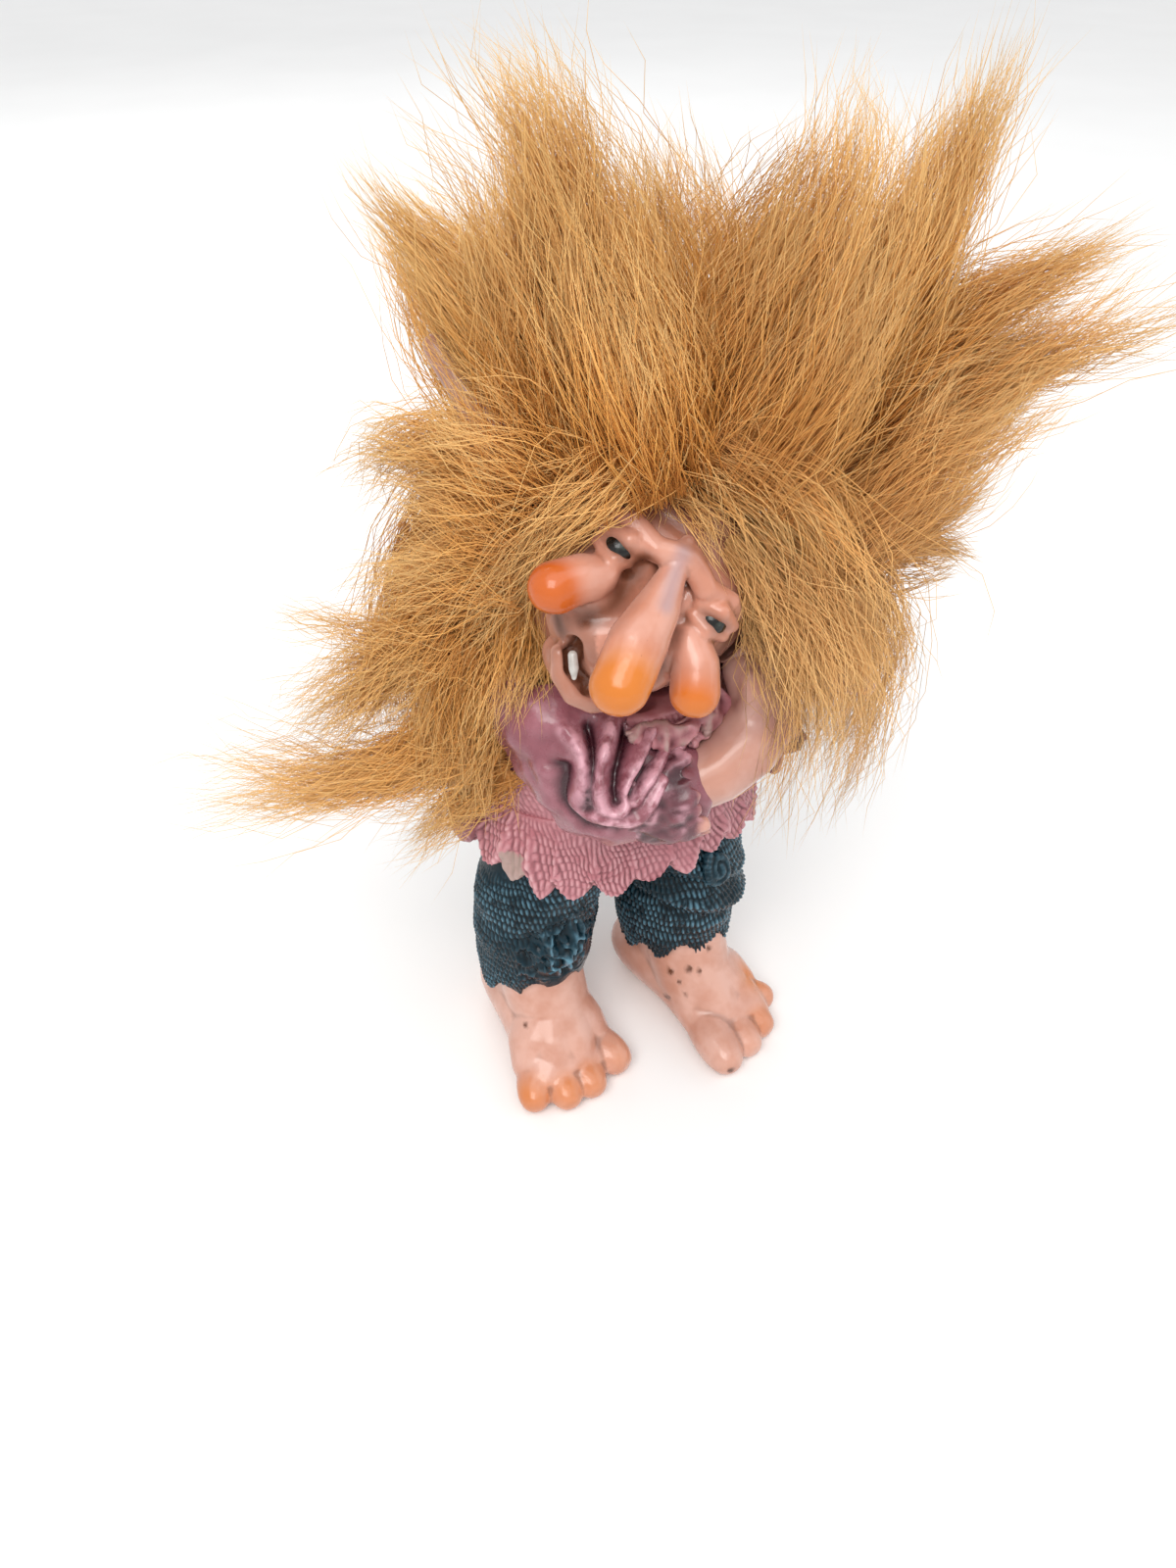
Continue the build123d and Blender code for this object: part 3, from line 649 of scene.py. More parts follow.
trunkSetup = {
    "middle": (0.0, -3.2), "turn": -18.0, "stitchPitch": 0.62, "rowPitch": 1.15, "stitch": 0.13,
    "radius": 13.5, "voxel": 0.22, "rounds": 6,
}
hemSetup = {
    "voxel": 0.18, "wall": 1.0, "top": 42.0, "topSize": (14.9, 11.1), "edgeSize": (16.9, 13.1),
    # the ragged edge, notch and tip by turns: degrees round the trunk, height
    "edge": (
        (-163, 37.0), (-154, 34.0), (-144, 37.3), (-139, 33.7), (-132, 36.9), (-127, 31.8), (-121, 35.6),
        (-114, 32.4), (-106, 36.0), (-98, 33.0), (-91, 35.6), (-84, 34.4), (-76, 37.4), (-70, 34.4),
        (-63, 38.4), (-57, 35.6), (-50, 38.4), (-42, 35.0), (-33, 37.5), (-22, 34.2), (-10, 37.0),
        (0, 33.4), (11, 36.2), (24, 32.6), (35, 36.0), (49, 33.0), (60, 36.6), (72, 33.6), (86, 36.4),
        (99, 32.8), (110, 36.0), (125, 33.2), (138, 36.8), (150, 33.0), (163, 36.4), (178, 33.4), (197, 37.0),
    ),
    "paleTab": (-139.0, 5.5, 37.2), "redTab": ((-17.0, 0.4, 37.8), (1.3, 2.6, 3.6)),
}


def trunkKnit(places):
    outward = places[:, :2] - np.array(trunkSetup["middle"])
    turns = round(2 * np.pi * trunkSetup["radius"] / trunkSetup["stitchPitch"])
    return knitRelief(places, outward, turns, trunkSetup["rowPitch"], 1.3, 51)


def cloth(name, grid, wall):  # rows of points round an opening, made a closed cloth
    rows, around = grid.shape[:2]
    sheet = bpy.data.meshes.new(name)
    corners = [(row * around + turn, row * around + (turn + 1) % around,
                (row + 1) * around + (turn + 1) % around, (row + 1) * around + turn)
               for row in range(rows - 1) for turn in range(around)]
    sheet.from_pydata((grid.reshape(-1, 3) * mm).tolist(), [], corners)
    piece = bpy.data.objects.new(name, sheet)
    bpy.context.scene.collection.objects.link(piece)
    applied(piece, "SOLIDIFY", thickness=wall * mm, offset=0)
    return piece


tilt = math.radians(trunkSetup["turn"])
angles = np.radians(np.linspace(-163, 197, 900, endpoint=False))
edgeAngles, edgeHeights = np.array(hemSetup["edge"]).T
place = np.interp(np.degrees(angles), edgeAngles, np.arange(len(edgeAngles)))
before = np.floor(place).astype(int)
part = place - before
towardTip = np.where(before % 2 == 0, np.sin(part * np.pi / 2) ** 0.5, 1 - np.cos(part * np.pi / 2) ** 0.5)
lowEdge = edgeHeights[before] + (edgeHeights[before + 1] - edgeHeights[before]) * towardTip
rows = []
for share in np.linspace(0, 1, 24):
    size = [top + (low - top) * share ** 1.3 for top, low in zip(hemSetup["topSize"], hemSetup["edgeSize"])]
    flat = np.stack([size[0] * np.cos(angles), size[1] * np.sin(angles)], axis=1)
    turned = flat @ np.array(((math.cos(tilt), math.sin(tilt)), (-math.sin(tilt), math.cos(tilt))))
    heights = hemSetup["top"] + (lowEdge - hemSetup["top"]) * share
    rows.append(np.column_stack([turned + np.array(trunkSetup["middle"]), heights]))
trunk = recast("sweater", trunkSetup["voxel"], trunkSetup["rounds"])
hem = melted([cloth("sweaterHem", np.array(rows), hemSetup["wall"]),
              ball(*hemSetup["redTab"])], "sweaterHem", hemSetup["voxel"], 3)
for piece, nodeName in ((trunk, "sweater"), (hem, "sweater_hem")):
    places, facing = points(piece), normals(piece)
    outward = places[:, :2] - np.array(trunkSetup["middle"])
    outside = np.clip((facing[:, :2] * outward).sum(axis=1) / np.linalg.norm(outward, axis=1) * 1.6, 0, 1)
    stitches = trunkKnit(places)
    worn = np.clip(0.75 + 0.6 * field(places, 6, 63), 0.25, 1)
    push = outside * (trunkSetup["stitch"] * worn * (stitches - 0.5) * 2 + 0.40 * field(places, 4.5, 61))
    setPoints(piece, places + facing * push[:, None])
    # painted shade in the hollows and between stitches, and painted highlights on crests and raised stitches
    deep = hollows(piece, 5)
    # the tab is painted dark maroon as painted shade
    redTab = np.clip(2.5 - np.linalg.norm((places - np.array(hemSetup["redTab"][0]))
                                          / np.array(hemSetup["redTab"][1]), axis=1) * 2, 0, 0.8)
    mark(piece, "recess", np.clip(np.maximum(deep * 7 + outside * 0.35 * (0.45 - stitches), redTab), 0, 1))
    mark(piece, "crest", np.clip(-deep * 4 + 0.3 * stitches, 0, 1))
    leaned = outward @ np.array(((math.cos(tilt), -math.sin(tilt)), (math.sin(tilt), math.cos(tilt))))
    bearing = np.degrees(np.arctan2(leaned[:, 1] / hemSetup["edgeSize"][1],
                                    leaned[:, 0] / hemSetup["edgeSize"][0]))
    tabAngle, tabHalf, tabTop = hemSetup["paleTab"]
    pale = (np.abs(bearing - tabAngle) < tabHalf) & (places[:, 2] < tabTop)
    mark(piece, "edge", np.where(pale, 0.75, 0.0))
    settle(piece, sweaterCloth, "sweater_paint", nodeName)

collarSetup = {"voxel": 0.2, "rounds": 3, "pleat": 0.5}
collar = recast("sweater_collar", collarSetup["voxel"], collarSetup["rounds"], "sweaterCollar")
places, facing = points(collar), normals(collar)
pleats = 1.0 - 2.4 * np.abs(field(places * np.array((1, 1, 0.5)), 1.7, 66)) + 0.6 * field(places, 0.9, 67)
setPoints(collar, places + facing * (collarSetup["pleat"] * pleats)[:, None])
# painted shade in the pleats' hollows, and the whole collar darker; painted highlights, light and cream, on
# the pleats' crests
deep = hollows(collar, 7)
mark(collar, "recess", np.clip(deep * 5 + 0.4, 0, 1))
mark(collar, "crest", np.clip(-deep * 4, 0, 1))
mark(collar, "edge", np.clip(-deep * 3, 0, 0.6) * (field(places, 2.4, 68) > 0))
settle(collar, sweaterCloth, "sweater_paint", "sweater_collar")
print("sweater done")


# sleeves, cuff and hands

sleeveSetup = {
    "voxel": 0.2, "rounds": 6, "pivot": (-6.4, -16.5, 50.5), "crestWidth": 0.85, "grooveWidth": 0.65,
    # folds drawn on the elbow as the camera sees it: millimetres right and up from the pivot
    "crests": (
        ((-6.5, 5.1), (-5.4, 2.6), (-4.3, -0.2), (-2.8, -2.6), (-1.4, -3.7), (0.3, -4.0)),
        ((-2.3, 5.8), (-3.0, 3.5), (-3.6, 1.1), (-3.4, -0.7), (-2.1, -2.2), (-0.8, -2.6)),
        ((1.2, 4.9), (1.0, 3.0), (0.3, 1.2), (-0.3, -0.5), (-0.8, -2.6)),
        ((2.6, 2.9), (1.7, 0.3), (0.5, -1.6)),
        ((3.2, 0.3), (2.3, -1.8), (1.2, -3.7), (-0.8, -4.9)),
    ),
    "grooves": (
        ((-4.5, 5.3), (-4.6, 2.8), (-4.3, 0.9), (-3.6, -1.8)),
        ((-0.8, 4.6), (-1.4, 2.1), (-1.7, -0.2), (-1.2, -1.5)),
        ((1.9, 3.4), (1.0, 0.8), (0.1, -1.1)),
        ((-7.0, 1.2), (-5.7, -2.2), (-3.4, -4.5), (-0.4, -5.4)),
    ),
}


def drawn(places, facing, lines, width):  # nearness to lines drawn on the sleeve from the camera's side
    flat, toward = asSeen(places, facing, sleeveSetup["pivot"])
    near = np.zeros(len(places))
    for line in lines:
        gap = gapTo(flat, [(across, high, 0.0) for across, high in line])
        near = np.maximum(near, np.exp(-(gap / width) ** 2))
    return near * np.clip(toward * 1.6, 0, 1)


for nodeName in ("right_sleeve", "left_sleeve"):
    sleeve = recast(nodeName, sleeveSetup["voxel"], sleeveSetup["rounds"])
    places, facing = points(sleeve), normals(sleeve)
    bent = places + 1.3 * np.stack([field(places, 5, 70 + k) for k in range(3)], axis=1)
    if nodeName == "right_sleeve":
        crests = drawn(bent, facing, sleeveSetup["crests"], sleeveSetup["crestWidth"])
        grooves = drawn(bent, facing, sleeveSetup["grooves"], sleeveSetup["grooveWidth"])
        folds = 1.0 * crests - 1.1 * grooves + 0.22 * field(places, 1.4, 75)
    else:
        # the left sleeve lies in shade and is darkened all over as painted shade
        crests, grooves = np.zeros(len(places)), np.full(len(places), 0.5)
        folds = 0.6 * np.sin(bent @ np.array((0.35, 0.25, -0.90)) / 0.9)
    folds += 0.35 * field(places, 2.4, 74)
    setPoints(sleeve, places + facing * folds[:, None])
    # painted shade in the hollows and the drawn grooves, and painted highlights on the drawn crests
    deep = hollows(sleeve, 12)
    mark(sleeve, "recess", np.clip(deep * 3 + grooves * 0.9, 0, 1))
    mark(sleeve, "crest", np.clip(crests * 0.75 - deep * 1.5, 0, 1))
    brownish = np.exp(-((places[:, 2] - 45.6) / 1.2) ** 2) * 0.35
    mark(sleeve, "edge", brownish if nodeName == "right_sleeve" else np.zeros(len(places)))
    settle(sleeve, sleeveCloth, "sleeve_paint", nodeName)


def sheath(path, radii, ragged, seed):  # rings of points along a path, the last drawn out to a torn rim
    shares = np.linspace(0, 1, 22)
    line = smoothPath(np.array(path, float), shares)
    sides, others = turningFrame(line)
    way = (line[-1] - line[-2]) / np.linalg.norm(line[-1] - line[-2])
    turn = np.linspace(0, 2 * np.pi, 240, endpoint=False)
    ring = np.stack([np.cos(turn), np.sin(turn), np.zeros(len(turn))], axis=1)
    torn = ragged * (np.abs(field(ring * 3.2, 1.0, seed)) * 2 - 0.8 + 0.5 * field(ring * 6, 1.0, seed + 1))
    reach = np.interp(shares, np.linspace(0, 1, len(radii)), radii)
    wave = 1 + 0.10 * shares[:, None] * field(ring * 2.1, 1.0, seed + 2)[None, :]
    grid = line[:, None] + (reach[:, None] * wave)[..., None] * (
        ring[None, :, :1] * sides[:, None] + ring[None, :, 1:2] * others[:, None])
    return grid + way * (torn[None, :] * shares[:, None] ** 4)[..., None]


cuffSetup = {
    "right_cuff": {
        "path": ((-7.6, -16.2, 50.4), (-5.2, -17.9, 50.2), (-2.9, -19.2, 50.3), (-0.9, -20.0, 50.6)),
        "radii": (4.2, 4.9, 5.0, 4.7), "ragged": 1.0, "seed": 81,
    },
    "left_sleeve_flap": {
        "path": ((13.5, -9.0, 50.0), (14.0, -10.2, 46.0), (14.6, -11.6, 42.6)),
        "radii": (3.2, 4.3, 5.0), "ragged": 1.1, "seed": 87,
    },
}
cuffCloth = {"wall": 0.75, "voxel": 0.16, "rounds": 3}
for cuffName, setup in cuffSetup.items():
    grid = sheath(setup["path"], setup["radii"], setup["ragged"], setup["seed"])
    cuff = melted([cloth(cuffName, grid, cuffCloth["wall"])], cuffName + "Cast", cuffCloth["voxel"],
                  cuffCloth["rounds"])
    places, facing = points(cuff), normals(cuff)
    rough = 0.45 * field(places, 1.7, 82) + 0.2 * field(places, 0.8, 83)
    setPoints(cuff, places + facing * rough[:, None])
    line = smoothPath(np.array(setup["path"], float), np.linspace(0, 1, 12))
    way = (line[-1] - line[0]) / np.linalg.norm(line[-1] - line[0])
    along = (places - line[-1]) @ way
    deep = hollows(cuff, 8)
    rim = np.clip((along - 0.1) / 1.1, 0, 1)
    middle = line[np.argmin(np.linalg.norm(places[:, None] - line[None], axis=2), axis=1)]
    inner = ((places - middle) * facing).sum(axis=1) < 0
    # painted shade: darker all over, in the hollows and more inside the opening, less toward the rim; painted
    # highlights in scattered spots
    mark(cuff, "recess", np.clip(deep * 4 + 0.7 + 0.35 * field(places, 2.2, 85) + 0.4 * inner - rim, 0, 0.95))
    mark(cuff, "crest", np.clip(-deep * 4 + 1.3 * field(places, 1.3, 88) - 0.35, 0, 0.75))
    mark(cuff, "edge", np.clip(rim * (0.9 + 0.8 * field(places, 1.1, 84)), 0, 0.9))
    if cuffName == "right_cuff":
        settle(cuff, sleeveCloth, "sleeve_paint", "right_cuff")
    else:
        settle(cuff, sleeveCloth, "sleeve_paint")

handSetup = {
    "forearm": (
        ((-4.5, -18.9, 50.1), (-1.5, -19.9, 50.5), (1.8, -20.5, 51.5), (5.2, -20.3, 53.2), (8.0, -19.1, 55.0),
         (7.9, -18.1, 57.4), (6.8, -17.3, 59.9)),
        (2.9, 3.1, 3.35, 3.6, 3.7, 3.1, 2.4),
    ),
    "thumb": (((5.6, -20.2, 55.4), (6.2, -19.7, 57.8), (5.9, -19.0, 60.2)), (2.0, 1.5, 1.2)),
    "knuckle": (((9.4, -18.0, 55.6), (8.7, -17.2, 58.2)), (1.9, 1.5)),
    "wash": ((9.6, -19.8, 54.4), 4.2), "voxel": 0.24, "rounds": 7,
}
rightHand = melted([each for part in ("forearm", "thumb", "knuckle") for each in chain(*handSetup[part])],
                   "rightHandCast", handSetup["voxel"], handSetup["rounds"])
leftHand = recast("left_hand", handSetup["voxel"], 8, "leftHandCast")
for hand, nodeName in ((rightHand, "right_hand"), (leftHand, "left_hand")):
    places = points(hand)
    spot, radius = handSetup["wash"]
    mark(hand, "orange", 0.7 * fall(np.linalg.norm(places - np.array(spot), axis=1), radius))
    mark(hand, "amber", np.full(len(places), 0.6))
    mark(hand, "lilac", np.clip(0.22 + 0.25 * field(places, 2.5, 89), 0, 0.5))
    # painted shade in the hand's hollows
    mark(hand, "recess", np.clip(hollows(hand, 16) * 4 - 0.1, 0, 0.8))
    settle(hand, skin, "skin_paint", nodeName)
print("arms done")


# head

headSetup = {
    "centre": (-1.1, -9.8, 69.2), "turn": -24.9, "nod": -16.4, "lean": 39.5, "voxel": 0.2, "rounds": 5,
    # forms in the head's own frame: across, back, up
    "masses": (
        ((0, 0.6, 0.2), (11.4, 11.0, 11.8)),
        ((0, -6.8, -5.2), (6.8, 4.9, 4.5)), ((0.4, -7.2, -9.2), (5.0, 3.5, 2.7)),
        ((-3.6, -8.5, -2.2), (3.6, 2.9, 3.8)), ((3.6, -8.5, -2.2), (3.6, 2.9, 3.8)),
        ((-2.5, -9.0, 1.2), (1.8, 1.7, 2.2)), ((2.5, -9.0, 1.2), (1.8, 1.7, 2.2)),
    ),
    "brow": (((-8.2, -8.0, 3.2), (-5.6, -9.8, 3.9), (-2.8, -10.9, 3.4), (0, -11.0, 4.6), (2.8, -10.9, 3.4),
              (5.6, -9.6, 3.8), (7.8, -7.6, 3.0)), (0.7, 1.1, 1.2, 1.2, 1.1, 0.85, 0.5)),
    "nose": (((-0.9, -10.6, 5.4), (-0.5, -11.5, 2.8), (0.0, -12.7, -0.2), (0.3, -14.0, -3.4),
              (0.9, -15.6, -6.9)), (0.75, 1.2, 2.0, 2.7, 2.65)),
    "lip": (((-3.6, -9.7, -8.8), (-2.3, -9.9, -10.3), (-0.3, -10.1, -11.0), (1.6, -10.2, -10.7),
             (3.2, -9.8, -9.8)), (0.8, 0.95, 1.05, 0.95, 0.6)),
    "cheek": (((4.8, -10.4, -1.1), (6.4, -11.2, -2.3), (7.8, -11.7, -4.2)), (1.9, 2.15, 2.3)),
    "lowerLid": (((3.5, -10.8, 1.0), (5.1, -11.2, 0.7), (7.0, -9.9, 1.0)), (0.55, 0.85, 0.65)),
    "upperLid": (((3.3, -10.8, 2.1), (5.1, -11.2, 2.7), (7.1, -9.7, 2.2)), (0.55, 0.9, 0.65)),
    "mouth": ((-3.2, -11.0, -7.5), (-1.9, -11.2, -8.9), (0.2, -11.4, -9.5), (2.6, -11.4, -8.6),
              (4.7, -11.4, -6.2)),
    "mouthDepth": 1.3, "mouthWidth": 1.05,
    "cheekBalls": ((-8.0, -12.2, -4.4), (-5.0, -11.0, -1.5), (5.0, -11.0, -1.5), (8.0, -12.2, -4.4)),
    # shadowed grooves beside the nose and under the cheeks, and the temple's hollow
    "grooves": (
        (((-3.0, -11.0, 1.8), (-2.8, -11.2, -0.8), (-2.6, -11.6, -3.0), (-4.2, -11.4, -5.4)), 1.8),
        (((2.5, -11.4, -1.2), (2.9, -12.0, -2.8), (4.0, -12.0, -4.4), (4.8, -11.8, -5.8)), 1.7),
        (((-6.6, -9.4, -6.6), (-4.8, -10.0, -7.4)), 2.2),
        (((9.6, -7.4, 1.6), (10.2, -6.6, -2.4), (9.2, -7.2, -6.0)), 2.6),
        (((-9.8, -6.6, 0.6), (-10.0, -6.2, -4.0)), 2.4),
    ),
    "tooth": (((-2.7, -10.7, -8.1), (-2.0, -11.0, -8.9), (-1.4, -10.9, -9.6)), (0.44, 0.46, 0.24)),
}
headTurn = (Matrix.Rotation(math.radians(headSetup["turn"]), 3, "Z")
            @ Matrix.Rotation(math.radians(headSetup["nod"]), 3, "X")
            @ Matrix.Rotation(math.radians(headSetup["lean"]), 3, "Y"))
headAxes = np.array(headTurn)
headMiddle = np.array(headSetup["centre"])


def headPoint(place):  # a place in the head's own frame, as a place in the figure's
    return tuple(headMiddle + headAxes @ np.array(place))


def headChain(form, mirror=1):
    spots, radii = form
    return chain([headPoint((across * mirror, back, up)) for across, back, up in spots], radii)


parts = [ball(headPoint(centre), sizes, headTurn, 48) for centre, sizes in headSetup["masses"]]
for form in ("brow", "nose", "lip"):
    parts += headChain(headSetup[form])
for form in ("cheek", "lowerLid", "upperLid"):
    parts += headChain(headSetup[form]) + headChain(headSetup[form], -1)
head = melted(parts, "headCast", headSetup["voxel"], headSetup["rounds"])
places, facing = points(head), normals(head)
local = (places - headMiddle) @ headAxes
front = np.clip(-(facing @ headAxes)[:, 1] * 2, 0, 1)
flatter = local * np.array((1, 0.35, 1))


def nearLine(line, radius):  # nearness to a line on the face, seen from its front
    return fall(gapTo(flatter, [(x, y * 0.35, z) for x, y, z in line]), radius) * front


mouth = nearLine(headSetup["mouth"], headSetup["mouthWidth"])
shade = np.zeros(len(places))
push = -headSetup["mouthDepth"] * np.clip(mouth * 1.6, 0, 1)
for line, radius in headSetup["grooves"]:
    near = nearLine(line, radius)
    push -= 0.35 * near
    shade = np.maximum(shade, near)
wrinkles = np.clip((local[:, 2] - 4.2) / 1.5, 0, 1) * front
push += 0.16 * wrinkles * np.sin(local[:, 2] * 3.1 + 0.8 * field(local, 4, 91))
push += 0.16 * front * field(local, 2.6, 92)
setPoints(head, places + facing * push[:, None])


def ballWash(centre, radius, strength):
    return strength * fall(np.linalg.norm(local - np.array(centre), axis=1), radius)


nose = ballWash((0.9, -17.0, -7.0), 5.6, 1.25)
orange = nose + ballWash((-8.2, -12.6, -4.6), 4.2, 1.7)
orange = orange + ballWash((8.0, -12.6, -5.0), 3.9, 1.4)
mark(head, "orange", np.clip(orange + 0.22 * front, 0, 0.97))
mark(head, "amber", np.clip(nose * 1.6 + ballWash((8.0, -12.6, -5.0), 4.5, 0.6) + 0.3 * front, 0, 1))
# painted shade: the hollows, the face's sides, the eye rims, the grooves, under the cheeks, between forehead
# wrinkles and inside the mouth are painted brown; the lip is browned too
deep = np.clip(hollows(head, 26) * 3.4 - 0.05, 0, 1)
sides = np.clip((np.abs(local[:, 0]) - 6.2) / 3.5, 0, 1) * (local[:, 2] > -6.0)
deep = np.maximum(deep, 0.75 * sides * np.clip(1.1 + 0.5 * field(local, 2.0, 95), 0, 1)
                  * (gapTo(local, headSetup["cheekBalls"]) > 3.4))
for mirror in (-1, 1):  # painted shade round the eyes
    fromEye = local - np.array((5.2 * mirror, -11.0, 1.7))
    eyeGap = np.linalg.norm(fromEye * np.array((0.62, 0.6, 1.1)), axis=1)
    deep = np.maximum(deep, 0.85 * fall(eyeGap, 1.7))
lower = np.clip((-local[:, 2] - 2.0) / 3.0, 0, 1) * front * (gapTo(local, headSetup["cheekBalls"]) > 3.6)
lower *= gapTo(local, headSetup["nose"][0]) > 4.2
shadeAndLipBrown = 1.05 * shade * (0.85 + 0.35 * field(local, 1.8, 93)) + 0.45 * wrinkles
shadeAndLipBrown = np.maximum(shadeAndLipBrown, 0.42 * lower * (1 + 0.5 * field(local, 2.4, 96)))
lipGap = gapTo(local, headSetup["lip"][0])
shadeAndLipBrown = np.maximum(shadeAndLipBrown, 0.40 * fall(lipGap, 2.2) * (0.8 + 0.5 * field(local, 1.5, 94)))
mark(head, "recess", np.clip(np.maximum(np.maximum(deep, shadeAndLipBrown), np.clip(mouth * 2.2, 0, 1)), 0, 0.97))
# a painted highlight along the nose bridge's crest
bridgeHighlight = ((-1.1, -12.2, 4.9), (-0.5, -13.0, 2.4), (0.0, -14.4, 0.6))
mark(head, "lilac", 0.75 * fall(gapTo(local, bridgeHighlight), 1.3))
settle(head, skin, "skin_paint", "head")

toothSetup = {"voxel": 0.1, "rounds": 2}
toothPiece = melted(headChain(headSetup["tooth"]), "toothCast", toothSetup["voxel"], toothSetup["rounds"])
settle(toothPiece, toothPaint.material, "tooth_paint", "tooth")

earSetup = {"voxel": 0.2, "rounds": 5, "shade": 0.35}
for nodeName in ("right_ear", "left_ear"):
    ear = recast(nodeName, earSetup["voxel"], earSetup["rounds"])
    mark(ear, "recess", np.full(len(ear.data.vertices), earSetup["shade"]))
    settle(ear, skin, "skin_paint", nodeName)
print("head done")


# fur: every lock is a bundle of fine tapered strands, drawn together in clumps

furSetup = {
    # rings along a strand, its thickness in mm, strands for a bundle's size, and the most in one lock
    "rings": 8, "thick": 0.048, "perArea": 5.9, "most": 4300, "fewest": 60,
    # strands drawn together in a clump, and the shares of stray strands and of short ones under them
    "perClump": 42, "fewestClumps": 8, "stray": 0.26, "under": 0.20, "seed": 17,
    "root": (0.56, 0.220, 0.042), "middle": (0.80, 0.385, 0.090), "tip": (0.90, 0.60, 0.26),
    "pale": (0.86, 0.54, 0.235),
    "skull": ((-1.1, -9.8, 69.2), 11.6), "trunk": ((0.0, -3.2), (15.6, 11.6), 58.5),
}
furPaint = Paint("furPile", 0.5)
strandMap = furPaint.tree.nodes.new("ShaderNodeUVMap")
strandMap.uv_map = "strandMap"
halves = furPaint.tree.nodes.new("ShaderNodeSeparateXYZ")
furPaint.join(strandMap.outputs[0], halves.inputs[0])
eachStrand, alongStrand = halves.outputs["X"], halves.outputs["Y"]
tone = furPaint.blend(furPaint.span(alongStrand, 0.0, 0.45), furSetup["root"], furSetup["middle"])
tone = furPaint.blend(furPaint.span(alongStrand, 0.40, 1.0), tone, furSetup["tip"])
tone = furPaint.blend(furPaint.layer("pale"), tone, furSetup["pale"])
shade = furPaint.blend(eachStrand, (0.80, 0.77, 0.72), (1.14, 1.13, 1.10))
furPaint.colour(furPaint.blend(1.0, tone, shade, "MULTIPLY"))
furPaint.shader.inputs["Specular IOR Level"].default_value = 0.3

